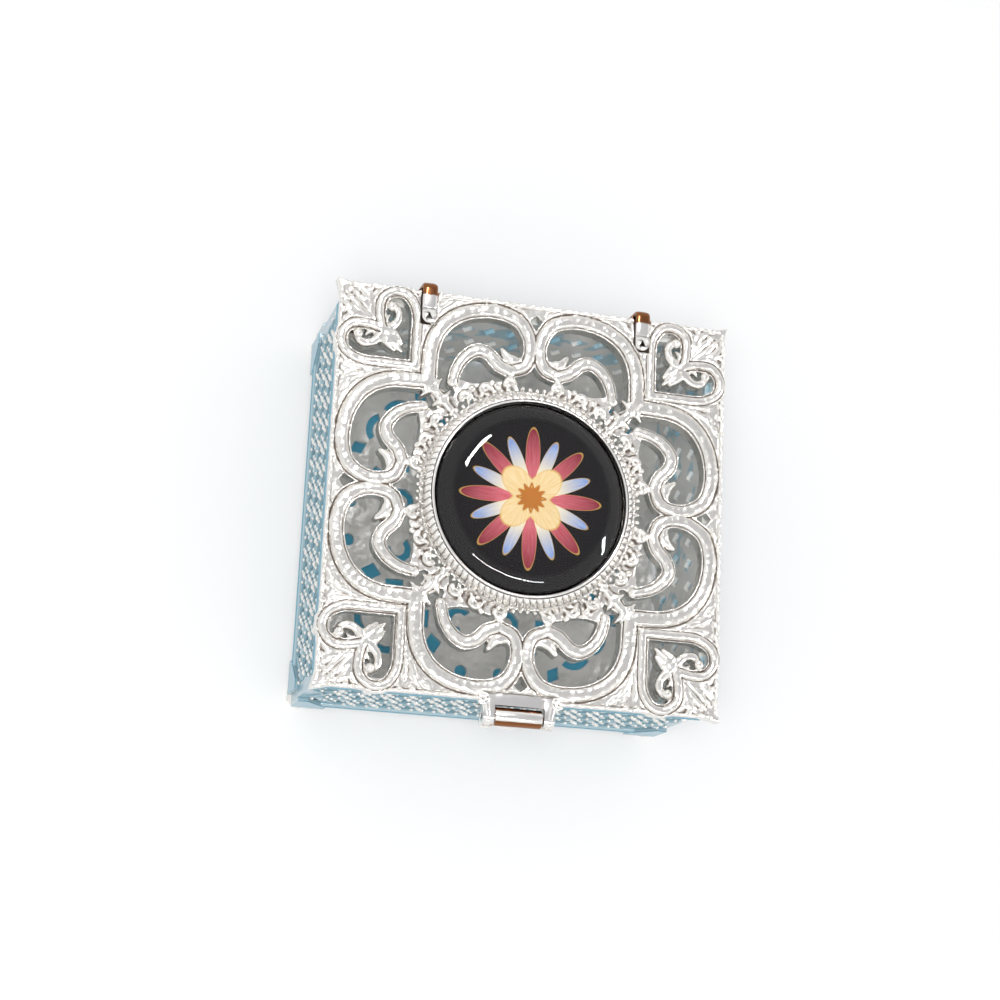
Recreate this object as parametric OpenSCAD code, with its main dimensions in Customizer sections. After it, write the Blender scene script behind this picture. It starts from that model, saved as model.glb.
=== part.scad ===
// Small square keepsake box for a rosary: a cast openwork lid with a domed round medallion,
// hinged to four pierced walls on a pierced floor, with bun feet and a front clasp.
// Millimetres. The origin is the middle of the footprint on the table, +Z is up, the front faces -Y.

/* [Box] */
// Side of the square body, outside its walls
body_side = 51; // [50:0.5:51.5]
// Height of the closed box from the table to the top of the lid's relief
box_h = 25; // [23:0.5:28]
// Thickness of each cast wall
wall_t = 1; // [0.9:0.05:1.2]
// Height of the underside of the walls above the table
wall_lift = 2.2; // [2:0.1:2.6]
// Thickness of the pierced floor casting
floor_t = 0.8; // [0.6:0.1:1]
// Thickness of the coloured lining under the pierced floor
lining_t = 0.4; // [0.2:0.05:0.4]
// Largest diameter of a bun foot
foot_d = 3.4; // [3:0.1:3.8]
// Number of flutes round a foot
flutes = 10; // [8:1:12]

/* [Wall ornament] */
// Number of trellis cells along a wall
cells = 16; // [12:2:18]
// Number of rows of piercings in a wall
rows = 3; // [2:1:4]
// Height of the plain band above and below the trellis
band_h = 2.6; // [2:0.1:3.2]
// Height that the rails stand out of the wall
rail_out = 0.35; // [0.2:0.05:0.4]
// Diameter of the beads on the middle rail
bead_d = 1.3; // [1:0.1:1.5]
// Length of the plain plate that covers the foot of a wall at each corner
corner_plate = 4.4; // [3.6:0.2:5]

/* [Lid] */
// Side of the square lid over its corner points
lid_side = 54; // [53.5:0.25:54.5]
// Thickness of the lid's pierced web
lid_web = 1.5; // [1.3:0.1:1.7]
// Height of the scrolls above the web
lid_relief = 0.8; // [0.6:0.1:1]
// Gap between the closed lid and the top of the walls
lid_gap = 0.3; // [0.2:0.05:0.4]
// Width of a large scroll where it is widest
scroll_w = 2.2; // [1.9:0.1:2.3]
// Width of a heart's band
heart_w = 1.45; // [1.2:0.05:1.5]
// Width of the leaves and stems between the scrolls
leaf_w = 1.2; // [1:0.1:1.3]
// Width of the rim along the lid's edge
rim_w = 0.4; // [0.3:0.05:0.5]

/* [Medallion] */
// Diameter of the round picture
picture_d = 25.4; // [25:0.1:25.8]
// Thickness of the picture disc
picture_t = 0.5; // [0.3:0.1:0.6]
// Height of the clear dome above the picture
dome_h = 2.4; // [1.6:0.1:2.8]
// Width of the milled ring that holds the picture
bezel_w = 1.5; // [1.2:0.1:1.6]
// Height of the milled ring above the lid's web
bezel_h = 1.6; // [1.4:0.1:2]
// Number of teeth round the milled ring
bezel_teeth = 96; // [72:4:108]

/* [Hinges] */
// Distance from the middle of the lid to each hinge
hinge_x = 14.6; // [14:0.2:15.2]
// Width of a hinge strap
strap_w = 2; // [1.8:0.1:2.2]
// Thickness of the strap metal
strap_t = 0.6; // [0.5:0.05:0.7]
// Length of the eyelet at a strap's inner end
eyelet_l = 1.6; // [1.4:0.1:1.8]
// Diameter of the hinge and clasp pins
pin_d = 0.8; // [0.7:0.05:0.9]
// Thickness of a hinge lug
lug_t = 0.8; // [0.7:0.05:1]

/* [Clasp] */
// Width of the clasp's rolled barrel
barrel_w = 6.2; // [5.6:0.1:6.4]
// Diameter of the clasp's rolled barrel
barrel_d = 2.4; // [2.2:0.1:2.6]
// Thickness of the ears that hold the barrel
ear_t = 1.4; // [1:0.1:1.6]
// Length of the hasp below its barrel
hasp_l = 10; // [8:0.5:11]
// Diameter of the stud that the hasp's notch straddles
stud_d = 1.6; // [1.4:0.1:1.8]

/* [Hidden] */

$fn = 48;
half_body = body_side / 2;
inner_half = half_body - wall_t;
lid_z = box_h - lid_relief - lid_web;
web_top = lid_z + lid_web;
wall_h = lid_z - lid_gap - wall_lift;
// Running gap between a pin and the barrel that turns on it, and the closer fit that holds a pin
run_gap = 0.05;
hold_gap = 0.01;
// Gap between pieces that move past each other, and the seam between pieces soldered together
free_gap = 0.15;
seam = 0.02;
// Past a surface, for a cut to come out clean
past = 0.5;

// The lid's ornament is drawn on a lid 54 mm wide and follows the lid's side
drawn_side = 54;
grow = lid_side / drawn_side;
// Where the straight stretches of the drawn lid's edge lie
edge_y = 26.2;
lid_edge = edge_y * grow;
seat_r = picture_d / 2 + bezel_w + 0.3;

// The lid turns about the hinge pins, just behind and below its back edge
hinge_y = half_body + rail_out + 0.95;
hinge_z = lid_z - 1.3;
knuckle_r = 0.9;
strap_in_y = 23.6;

// The hasp turns about the clasp pin, in front of the lid's edge
clasp_y = -(lid_edge + 0.8 + barrel_d / 2);
clasp_z = lid_z + 0.5;
stud_z = clasp_z - hasp_l + 2.4;
ear_r = barrel_d / 2 + 0.1;
pocket_w = barrel_w + 2 * free_gap + 2 * ear_t;
pocket_y = -(lid_edge - 0.9);

// Brings the middle of the whole footprint, with its hinges and clasp, to the origin
middle_y = (clasp_y - ear_r + hinge_y + knuckle_r) / 2;
module centred() {
    translate([0, -middle_y, 0]) children();
}

// Smooth curves

// A point between b and c on the smooth line through a, b, c and d
function between(a, b, c, d, t) = 0.5 * (2 * b + (c - a) * t + (2 * a - 5 * b + 4 * c - d) * t * t
    + (3 * b - a - 3 * c + d) * t * t * t);

// A smooth line through the points, with n steps from each point to the next
function smooth(p, n) = let (last = len(p) - 1) [
    for (i = [0:last - 1]) for (k = [0:n - 1])
        between(p[max(i - 1, 0)], p[i], p[i + 1], p[min(i + 2, last)], k / n),
    p[last]];

function heading(p, i) = let (d = p[min(i + 1, len(p) - 1)] - p[max(i - 1, 0)]) d / norm(d);

// Half width of a band at t from 0 to 1, through three widths
function half_width(w, t) =
    (t < 0.5 ? w[0] + (w[1] - w[0]) * 2 * t : w[1] + (w[2] - w[1]) * (2 * t - 1)) / 2;

// One edge of a band along a line, to its left where side is 1 and to its right where it is -1
function band_edge(p, w, side) = [for (i = [0:len(p) - 1]) let (h = heading(p, i))
    p[i] + side * half_width(w, i / (len(p) - 1)) * [-h[1], h[0]]];

function backwards(p) = [for (i = [len(p) - 1:-1:0]) p[i]];

// A band along a smooth line, w[0] wide at its start, w[1] halfway and w[2] at its round end
module band(points, w) {
    p = smooth(points, 2);
    polygon(concat(band_edge(p, w, 1), backwards(band_edge(p, w, -1))));
    translate(points[len(points) - 1]) circle(d = w[2], $fn = 8);
}

// Repeats a shape round a square, each time with its mirror image
module eightfold() {
    for (turn = [0:90:270])
        rotate(turn) for (flip = [0, 1]) mirror([flip, 0, 0]) children();
}

// The lid's ornament, one eighth of the square

// Large scroll: from the diagonal up, over, and round to its curl at the middle of the side
scroll_line = [[14.3, 14.6], [14, 19.2], [12.4, 22.4], [9.4, 24.4], [5.6, 25], [2.5, 24.2],
    [0.95, 22.2], [0.6, 20], [1.3, 17.9], [3.2, 17]];
// Branch that goes on from the curl in an S and dives under the scroll's foot
branch_line = [[3.2, 17], [4.8, 17.6], [6.2, 18.9], [7.7, 19.3], [9.2, 18.4], [10.3, 16.8], [10.9, 14.6]];
// Leaf that sprouts from the curl into the opening
sprout_line = [[1.5, 18.9], [2.6, 18.7], [3.7, 19.3], [4.6, 20.3]];
// Half of a corner heart, from its point to the cleft between its lobes
heart_line = [[16, 16], [16, 20], [16.1, 23.3], [17.3, 25.4], [19.2, 25.8], [20.8, 24.6], [21, 22.6],
    [20.6, 20.6]];
// Curl inside a heart's lobe, and the three-lobed leaf that points from its cleft to its point
curl_line = [[20.6, 20.6], [19.5, 20.9], [18.6, 21.9], [18.5, 23.1], [19.3, 23.9]];
tongue_line = [[20.6, 20.6], [19.4, 19.4], [17.9, 17.9]];
lobe_line = [[19.7, 19.7], [18.7, 20], [17.8, 19.6]];
// Stem from the medallion to the diagonal
stem_line = [[9.9, 9.9], [12.2, 12.2], [14.6, 14.6]];
// Leaves between a heart and the scroll beside it, one along each of them
side_line = [[15.1, 17.2], [14.9, 20.4], [14.2, 23], [12.8, 24.9], [10.6, 26]];
heart_leaf_line = [[15.2, 20.8], [15.1, 23.4], [14.6, 25.8]];
// Leaf that points into the lid's corner, and the lobe beside it
corner_line = [[21.4, 21.4], [24, 24], [26.3, 26.3]];
corner_lobe_line = [[21.9, 23.4], [22.9, 24.7], [23.1, 25.9]];
// Directions of the short leaves round the medallion, from the middle of a side
collar_leaves = [11, 23, 35];

module scrolls(w) {
    band(scroll_line, [w, w, 0.75 * w]);
    band(branch_line, [0.75 * w, 0.8 * w, 0.55 * w]);
    band(sprout_line, [0.6 * w, 0.5 * w, 0.2 * w]);
}

module hearts(w) {
    band(heart_line, [w, w, w]);
    band(curl_line, [w, 0.65 * w, 0.75 * w]);
    band(tongue_line, [0.8 * w, 0.9 * w, 0.3 * w]);
    band(lobe_line, [0.5 * w, 0.6 * w, 0.4 * w]);
}

module leaves(w) {
    band(stem_line, [0.6 * w, w, 0.8 * w]);
    band(side_line, [0.4 * w, 0.7 * w, 0.4 * w]);
}

// Leaves that stand on the flat infill
module infill_leaves(w) {
    band(heart_leaf_line, [0.3 * w, 0.6 * w, 0.3 * w]);
    band(corner_line, [0.7 * w, 1.4 * w, 0.3 * w]);
    band(corner_lobe_line, [0.5 * w, 0.9 * w, 0.4 * w]);
    for (a = collar_leaves) rotate(-a)
        band([[0, 14.2], [0, 15.4], [0, 16.3]], [0.6 * w, 0.9 * w, 0.6 * w]);
}

// Flat infill between the ornament and the lid's edge, with the leaf sprays that break the edge
module infill() {
    polygon([[13.8, 16], [16.1, 16], [16.2, 23.2], [17.3, 25.6], [20.8, 25], [21, 22], [20.6, 20.6],
        [27, 27], [25.6, edge_y], [0, edge_y], [0, 25], [0.9, 24.3], [2.6, 25], [5.6, 25.4], [9.8, 24.8],
        [12.9, 22.4]]);
    for (spray = [[5.6, 1.8], [12.6, 2.8], [19.4, 2]])
        translate([spray[0], edge_y - spray[1] / 2 + 0.5]) circle(d = spray[1], $fn = 16);
}

// Flat infill round the medallion, with a gap left beside each diagonal
module collar() {
    polygon([[1.6, 13], [3.4, 15.7], [5.6, 15.8], [8.2, 14.9], [10.6, 15.3], [14.6, 14.6], [10, 10],
        [9.9, 11.6], [9.7, 12.9], [8.9, 13.5], [8.1, 13.1], [7.5, 11.6]]);
}

// Ties where two scrolls meet, at the middle of a side and on the diagonal
module ties() {
    translate([0, 21]) square([1.6, 4], center = true);
    rotate(-45) translate([0, 21]) square([2.6, 3.4], center = true);
}

module lid_outline() {
    scale([grow, grow]) eightfold() {
        scrolls(scroll_w);
        hearts(heart_w);
        leaves(leaf_w);
        infill();
        collar();
        ties();
    }
    circle(r = seat_r, $fn = 72);
}

module lid_ridges() {
    scale([grow, grow]) eightfold() {
        scrolls(0.68 * scroll_w);
        hearts(0.66 * heart_w);
        leaves(0.7 * leaf_w);
        infill_leaves(0.8 * leaf_w);
        translate([0, edge_y - rim_w]) square([edge_y, rim_w]);
    }
}

// Pierced casting: a flat web that follows the ornament, with narrower ridges standing on it
module lid_casting() {
    flow = 0.04;
    color("silver") centred() difference() {
        translate([0, 0, lid_z]) {
            linear_extrude(lid_web) offset(delta = flow) lid_outline();
            translate([0, 0, lid_web / 2]) linear_extrude(lid_web / 2 + lid_relief)
                offset(delta = flow) lid_ridges();
        }
        // Level seat for the milled ring
        translate([0, 0, web_top]) cylinder(r = seat_r, h = past + lid_relief);
        for (side = [-1, 1]) translate([side * hinge_x, 0, 0]) {
            strap_room(strap_w + 2 * seam);
            translate([0, strap_in_y + strap_t / 2, lid_z - past])
                linear_extrude(lid_web + 2 * past) square([strap_w + 2 * seam, 1], center = true);
        }
        translate([-pocket_w / 2 - seam, pocket_y - 10, lid_z - past]) cube([pocket_w + 2 * seam, 10, 10]);
    }
}

// Room above the web for a hinge strap
module strap_room(w) {
    translate([-w / 2, strap_in_y - eyelet_l - seam, web_top]) cube([w, 10, 10]);
}

// Medallion

// Ring with a milled edge, open in the middle for the picture and its dome
module bezel_ring() {
    outer = picture_d / 2 + bezel_w;
    groove = 0.28;
    color("gainsboro") centred() translate([0, 0, web_top]) difference() {
        linear_extrude(bezel_h) polygon([for (i = [0:2 * bezel_teeth - 1])
            let (a = 180 * i / bezel_teeth) (outer - (i % 2) * groove) * [cos(a), sin(a)]]);
        translate([0, 0, -past]) cylinder(r = picture_d / 2 + seam, h = bezel_h + 2 * past);
        translate([0, 0, bezel_h - 0.4])
            cylinder(r1 = picture_d / 2, r2 = picture_d / 2 + 0.6, h = 0.4 + seam);
    }
}

module picture_disc() {
    color("midnightblue") centred() translate([0, 0, web_top]) cylinder(d = picture_d, h = picture_t);
}

// A straight edge below a shallow cap of a large sphere
module clear_dome() {
    edge_h = 0.8;
    cap_h = dome_h - edge_h;
    r = picture_d / 2;
    ball_r = (r * r + cap_h * cap_h) / (2 * cap_h);
    color("white", 0.3) centred()
        translate([0, 0, web_top + picture_t]) rotate_extrude() intersection() {
            square([r, dome_h]);
            translate([0, dome_h - ball_r]) circle(r = ball_r, $fn = 240);
        }
}

// Walls

cell = (body_side - 2) / cells;
row_h = (wall_h - 2 * band_h) / rows;

// Drop-shaped piercings in staggered rows, drawn along a wall and up it
module piercings(length) {
    count = floor(length / cell);
    for (row = [0:rows - 1]) {
        shift = row % 2 == 0 ? 0 : 0.5;
        for (i = [0:count - 1 - row % 2])
            translate([(i + 0.5 + shift - count / 2) * cell, band_h + (row + 0.5) * row_h])
                polygon([[0, 0.36 * row_h], [-0.26 * cell, 0], [0, -0.3 * row_h], [0.26 * cell, 0]]);
    }
}

// Scallops along the underside between the feet
module apron_cut(length) {
    scallop = cell * 2;
    count = floor((length - 3 * foot_d) / scallop);
    for (i = [0:count - 1])
        translate([(i + 0.5 - count / 2) * scallop, -0.35]) circle(d = 0.72 * scallop, $fn = 24);
}

// Half-round rails along the top, the middle and the foot of a wall, a row of beads, and a plain plate
// over the foot of the wall at each end
module wall_relief(length) {
    for (v = [wall_h - 0.9, band_h - 0.6, wall_h - band_h + 0.5])
        translate([-length / 2, 0, v]) rotate([0, 90, 0])
            intersection() {
                cylinder(d = 2 * rail_out + 0.4, h = length, $fn = 32);
                translate([-2, -2, 0]) cube([4, 2, length]);
            }
    count = floor(length / cell);
    for (i = [0:count - 1])
        translate([(i + 0.5 - count / 2) * cell, 0.2, band_h + row_h]) sphere(d = bead_d, $fn = 24);
    for (side = [0, 1]) mirror([side, 0, 0]) translate([-length / 2, 0, 0])
        rotate([90, 0, 0]) linear_extrude(rail_out + 0.2)
            polygon([[0, 0], [corner_plate, 0], [corner_plate, 1.4], [1.4, 1.25 * corner_plate],
                [0, 1.25 * corner_plate]]);
}

// A wall standing along X with its outer face at y = 0, looking towards -Y
module wall_panel(length) {
    intersection() {
        union() {
            rotate([90, 0, 0]) translate([0, 0, -wall_t]) linear_extrude(wall_t) difference() {
                translate([-length / 2, 0]) square([length, wall_h]);
                piercings(length);
                apron_cut(length);
            }
            wall_relief(length);
        }
        translate([-length / 2, -rail_out - 0.3, 0]) cube([length, wall_t + rail_out + 0.3, wall_h]);
    }
}

module placed_wall(turn, length) {
    rotate(turn) translate([0, -half_body, wall_lift]) wall_panel(length);
}

module front_wall() {
    color("lightsteelblue") centred() difference() {
        placed_wall(0, body_side);
        translate([0, -half_body, stud_z]) rotate([90, 0, 0]) cylinder(d = stud_base_d + 2 * seam, h = 2);
    }
}

module back_wall() {
    color("lightsteelblue") centred() difference() {
        placed_wall(180, body_side);
        for (side = [-1, 1])
            translate([side * hinge_x, half_body + 1, hinge_z])
                cube([lug_span + 2 * seam, 2, 2 * knuckle_r + 2 * seam], center = true);
    }
}

module left_wall() {
    color("lightsteelblue") centred() placed_wall(-90, body_side - 2 * wall_t);
}

module right_wall() {
    color("lightsteelblue") centred() placed_wall(90, body_side - 2 * wall_t);
}

// Floor

// A slot bent to an arc, its ends square
module arc_slot(r, w, from, to) {
    n = 6;
    polygon(concat(
        [for (i = [0:n]) let (a = from + (to - from) * i / n) (r + w / 2) * [cos(a), sin(a)]],
        [for (i = [n:-1:0]) let (a = from + (to - from) * i / n) (r - w / 2) * [cos(a), sin(a)]]));
}

module diamond(w, h) {
    polygon([[0, h / 2], [-w / 2, 0], [0, -h / 2], [w / 2, 0]]);
}

// Openings of one eighth of the floor: petals, horseshoes, diamonds and slots round the middle
module floor_openings() {
    translate([2.2, 5.4]) rotate(-22) diamond(2, 4.4);
    translate([3.3, 12.4]) rotate(20) arc_slot(1.5, 1, 200, 440);
    translate([6.8, 15.9]) rotate(10) diamond(2.5, 3);
    translate([8.3, 12.6]) square([1.5, 2.5], center = true);
    translate([2.7, 19.4]) circle(d = 1.7, $fn = 24);
    translate([10.4, 18.8]) rotate(30) diamond(2, 2.8);
    translate([13.2, 15.4]) arc_slot(2, 1, 20, 130);
    translate([17.2, 20.2]) rotate(-8) diamond(1.7, 3.6);
}

module floor_plate() {
    side = 2 * inner_half - 2 * seam;
    color("lightgray") centred() translate([0, 0, wall_lift]) linear_extrude(floor_t) difference() {
        square(side, center = true);
        eightfold() floor_openings();
        circle(d = 3, $fn = 24);
    }
}

lining_side = body_side - 2 * foot_d + 0.8;
module floor_lining() {
    color("teal") centred() translate([0, 0, wall_lift - lining_t / 2])
        cube([lining_side, lining_side, lining_t], center = true);
}

// A low fluted bun with a flat sole and a waist under the corner of the walls
module foot(x, y) {
    r = foot_d / 2;
    h = wall_lift;
    profile = smooth([[0.5 * r, 0], [0.86 * r, 0.12 * h], [r, 0.42 * h], [0.86 * r, 0.74 * h],
        [0.66 * r, 0.88 * h], [0.74 * r, h]], 3);
    flute_r = 0.32;
    color("silver") centred() translate([x, y, 0]) difference() {
        rotate_extrude() polygon(concat([[0, 0]], profile, [[0, h]]));
        for (i = [0:flutes - 1]) rotate((i + 0.5) * 360 / flutes)
            translate([r + 0.5 * flute_r, 0, -past]) cylinder(r = flute_r, h = h + 2 * past, $fn = 16);
    }
}
foot_at = half_body - foot_d / 2 + 0.5;
module foot_front_left() { foot(-foot_at, -foot_at); }
module foot_front_right() { foot(foot_at, -foot_at); }
module foot_back_left() { foot(-foot_at, foot_at); }
module foot_back_right() { foot(foot_at, foot_at); }

// Hinges

lug_gap = strap_w + 2 * free_gap;
lug_span = lug_gap + 2 * lug_t;

// A bent strap: an eyelet with a three-sided hole, a leg down through the lid's small hole, a run over
// the edge, and a rolled knuckle
module hinge_strap(x) {
    // The leg runs into the knuckle a little inside its edge, so that the two cross
    out_y = hinge_y + knuckle_r - 0.04;
    in_y = strap_in_y;
    // The eyelet's round end is a little narrower than the strap, so that the two cross
    eyelet_r = strap_w / 2 - 0.05;
    eyelet_t = strap_t - 0.15;
    eyelet_y = in_y - eyelet_l + eyelet_r;
    color("silver") centred() difference() {
        union() {
            translate([x - strap_w / 2, 0, 0]) rotate([90, 0, 90]) linear_extrude(strap_w)
                polygon([[in_y, lid_z + 0.2], [in_y, web_top + 0.35], [in_y + 0.25, web_top + strap_t],
                    [out_y - 0.35, web_top + strap_t], [out_y, web_top + 0.25], [out_y, hinge_z],
                    [out_y - strap_t, hinge_z], [out_y - strap_t, web_top], [in_y + strap_t, web_top],
                    [in_y + strap_t, lid_z + 0.2]]);
            translate([x - strap_w / 2, hinge_y, hinge_z]) rotate([0, 90, 0])
                cylinder(r = knuckle_r, h = strap_w);
            translate([x, eyelet_y, web_top]) cylinder(r = eyelet_r, h = eyelet_t);
            translate([x - strap_w / 2, eyelet_y, web_top])
                cube([strap_w, in_y + strap_t / 2 - eyelet_y, eyelet_t]);
        }
        translate([x, eyelet_y, web_top - past]) linear_extrude(2)
            polygon([[-0.5, -0.45], [0.5, -0.45], [0, 0.5]]);
        translate([x - strap_w, hinge_y, hinge_z]) rotate([0, 90, 0])
            cylinder(r = pin_d / 2 + run_gap, h = 2 * strap_w);
    }
}
module hinge_strap_left() { hinge_strap(-hinge_x); }
module hinge_strap_right() { hinge_strap(hinge_x); }

// Two lugs on a pad that is soldered to the back wall
module hinge_lugs(x) {
    pad_t = 0.2;
    color("silver") centred() difference() {
        union() {
            for (side = [-1, 1]) translate([x + side * (lug_gap + lug_t) / 2 - lug_t / 2, 0, hinge_z]) {
                translate([0, hinge_y, 0]) rotate([0, 90, 0]) cylinder(r = knuckle_r, h = lug_t);
                translate([0, half_body, -knuckle_r]) cube([lug_t, hinge_y - half_body, 2 * knuckle_r]);
            }
            translate([x - lug_span / 2, half_body, hinge_z - knuckle_r])
                cube([lug_span, pad_t, 2 * knuckle_r]);
        }
        translate([x - lug_span, hinge_y, hinge_z]) rotate([0, 90, 0])
            cylinder(r = pin_d / 2 + hold_gap, h = 2 * lug_span);
    }
}
module hinge_lugs_left() { hinge_lugs(-hinge_x); }
module hinge_lugs_right() { hinge_lugs(hinge_x); }

// A pin between two thin peened heads
module headed_pin(span) {
    head_t = 0.25;
    cylinder(d = pin_d, h = span + 2 * head_t, center = true);
    for (side = [-1, 1]) translate([0, 0, side * (span + head_t) / 2])
        cylinder(d = 1.5 * pin_d, h = head_t, center = true);
}

module hinge_pin(x) {
    color("dimgray") centred()
        translate([x, hinge_y, hinge_z]) rotate([0, 90, 0]) headed_pin(lug_span + 2 * seam);
}
module hinge_pin_left() { hinge_pin(-hinge_x); }
module hinge_pin_right() { hinge_pin(hinge_x); }

// Clasp

// Tab let into the lid's front edge, with two round ears that stand forward of it
module clasp_bracket() {
    tab_y = clasp_y + barrel_d / 2 + free_gap;
    color("gainsboro") centred() difference() {
        union() {
            translate([-pocket_w / 2, tab_y, lid_z + 0.2]) cube([pocket_w, pocket_y - tab_y, lid_web - 0.4]);
            for (side = [-1, 1]) translate([side * (pocket_w - ear_t) / 2, 0, 0]) {
                translate([-ear_t / 2, clasp_y, clasp_z]) rotate([0, 90, 0]) cylinder(r = ear_r, h = ear_t);
                translate([-ear_t / 2, clasp_y, clasp_z]) cube([ear_t, pocket_y - clasp_y, ear_r]);
            }
        }
        translate([-pocket_w, clasp_y, clasp_z]) rotate([0, 90, 0])
            cylinder(r = pin_d / 2 + hold_gap, h = 2 * pocket_w);
    }
}

module clasp_pin() {
    color("dimgray") centred() translate([0, clasp_y, clasp_z]) rotate([0, 90, 0])
        cylinder(d = pin_d, h = pocket_w - 0.2, center = true);
}

// A strip rolled round the pin, hanging straight down to a notched end with a turned-out thumb lip
module clasp_hasp() {
    strip_t = 0.7;
    back_y = clasp_y + barrel_d / 2;
    end_z = clasp_z - hasp_l;
    notch_w = stud_d + 0.4;
    tip_w = barrel_w - 1.4;
    color("silver") centred() difference() {
        union() {
            translate([-barrel_w / 2, clasp_y, clasp_z]) rotate([0, 90, 0])
                cylinder(d = barrel_d, h = barrel_w);
            translate([0, back_y, 0]) rotate([90, 0, 0]) linear_extrude(strip_t)
                polygon([[-barrel_w / 2, clasp_z], [-barrel_w / 2, clasp_z - 2.2], [-tip_w / 2, clasp_z - 4],
                    [-tip_w / 2, end_z], [tip_w / 2, end_z], [tip_w / 2, clasp_z - 4],
                    [barrel_w / 2, clasp_z - 2.2], [barrel_w / 2, clasp_z]]);
            translate([-tip_w / 2, back_y - strip_t, end_z]) rotate([0, 90, 0])
                cylinder(r = strip_t, h = tip_w);
        }
        translate([-barrel_w, clasp_y, clasp_z]) rotate([0, 90, 0])
            cylinder(r = pin_d / 2 + run_gap, h = 2 * barrel_w);
        translate([0, back_y + past, stud_z]) rotate([90, 0, 0]) cylinder(d = notch_w, h = 4);
        translate([-notch_w / 2, back_y - 4, end_z - 2]) cube([notch_w, 4 + past, stud_z - end_z + 2]);
    }
}

stud_base_d = 3;
// A round base on the front wall with a rounded peg through the hasp's notch
module clasp_stud() {
    base_t = 0.5;
    reach = half_body + clasp_y;
    peg = -reach - barrel_d / 2 + 0.9;
    color("silver") centred() translate([0, -half_body, stud_z]) rotate([90, 0, 0]) {
        cylinder(d = stud_base_d, h = base_t);
        cylinder(d = stud_d, h = peg);
        translate([0, 0, peg]) intersection() {
            sphere(d = stud_d, $fn = 32);
            cylinder(d = 2 * stud_d, h = stud_d);
        }
    }
}

lid_casting();
bezel_ring();
picture_disc();
clear_dome();
front_wall();
back_wall();
left_wall();
right_wall();
floor_plate();
floor_lining();
foot_front_left();
foot_front_right();
foot_back_left();
foot_back_right();
hinge_strap_left();
hinge_strap_right();
hinge_lugs_left();
hinge_lugs_right();
hinge_pin_left();
hinge_pin_right();
clasp_bracket();
clasp_hasp();
clasp_pin();
clasp_stud();
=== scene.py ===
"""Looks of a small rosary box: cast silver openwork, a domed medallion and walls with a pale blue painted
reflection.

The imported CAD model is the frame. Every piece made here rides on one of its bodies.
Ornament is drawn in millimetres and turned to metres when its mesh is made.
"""
import math

import bmesh
import bpy
import numpy as np
from bpy.props import FloatProperty, FloatVectorProperty, IntProperty, PointerProperty, StringProperty
from mathutils import Matrix, Vector


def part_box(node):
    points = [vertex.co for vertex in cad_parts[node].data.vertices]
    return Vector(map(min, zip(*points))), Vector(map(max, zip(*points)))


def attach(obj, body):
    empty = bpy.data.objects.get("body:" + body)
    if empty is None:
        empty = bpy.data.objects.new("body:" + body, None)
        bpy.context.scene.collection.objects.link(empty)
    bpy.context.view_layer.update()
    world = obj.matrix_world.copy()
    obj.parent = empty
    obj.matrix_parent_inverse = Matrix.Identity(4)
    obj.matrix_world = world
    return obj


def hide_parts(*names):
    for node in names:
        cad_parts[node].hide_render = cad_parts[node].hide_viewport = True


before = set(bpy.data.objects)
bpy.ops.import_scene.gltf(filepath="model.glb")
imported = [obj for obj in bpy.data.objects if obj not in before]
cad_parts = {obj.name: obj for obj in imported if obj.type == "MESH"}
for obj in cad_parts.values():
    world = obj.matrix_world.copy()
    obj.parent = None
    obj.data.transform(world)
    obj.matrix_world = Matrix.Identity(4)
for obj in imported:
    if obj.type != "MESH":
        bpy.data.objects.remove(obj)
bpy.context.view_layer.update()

bl_info = {
    "name": "Rosary Box",
    "version": (1, 0, 0),
    "blender": (4, 5, 0),
    "location": "View3D > Sidebar > Rosary Box",
    "description": "Builds the looks of a small rosary box round its frame",
    "category": "Object",
}

MM = 0.001


# Places read from the frame, in millimetres

def frame_box(name):
    """Lowest and highest corner of a CAD node, in millimetres."""
    low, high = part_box(name)
    return np.array(low) / MM, np.array(high) / MM


LID_LOW, LID_HIGH = frame_box("lid_casting")
MIDDLE = (LID_LOW + LID_HIGH) / 2
CENTRE = (MIDDLE[0], MIDDLE[1])
PICTURE_LOW, PICTURE_HIGH = frame_box("picture_disc")
PICTURE_R = (PICTURE_HIGH[0] - PICTURE_LOW[0]) / 2
BEZEL_LOW, BEZEL_HIGH = frame_box("bezel_ring")
BEZEL_R = (BEZEL_HIGH[0] - BEZEL_LOW[0]) / 2
WEB_TOP = BEZEL_LOW[2]
DOME_TOP = frame_box("clear_dome")[1][2]
WALL_LOW, WALL_HIGH = frame_box("left_wall")
WALL_H = WALL_HIGH[2] - WALL_LOW[2]
HALF_BODY = 25.5
# Distances out from a wall's outer face over which its outer side, the rubbed relief on it, and the
# plain plates at its corners begin
SKIN = (-0.5, -0.2)
RELIEF = (0.12, 0.3)
PLATE_RELIEF = (0.42, 0.48)
# Length and height of the plain plate over the foot of a wall at each corner
CORNER_PLATE = 4.4
PLATE_H = 5.7
# Piercings of a wall: how many along it, how many rows, the height of the plain bands and of a row
CELLS = 16
ROWS = 3
BAND_H = 2.6
ROW_H = (WALL_H - 2 * BAND_H) / ROWS
# Radius of the flat seat under the medallion, a little wider than its ring
SEAT_R = 14.5
# Slack between a turned or bent piece and the CAD box that it fills
SLACK = 0.02


# Mesh building

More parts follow.
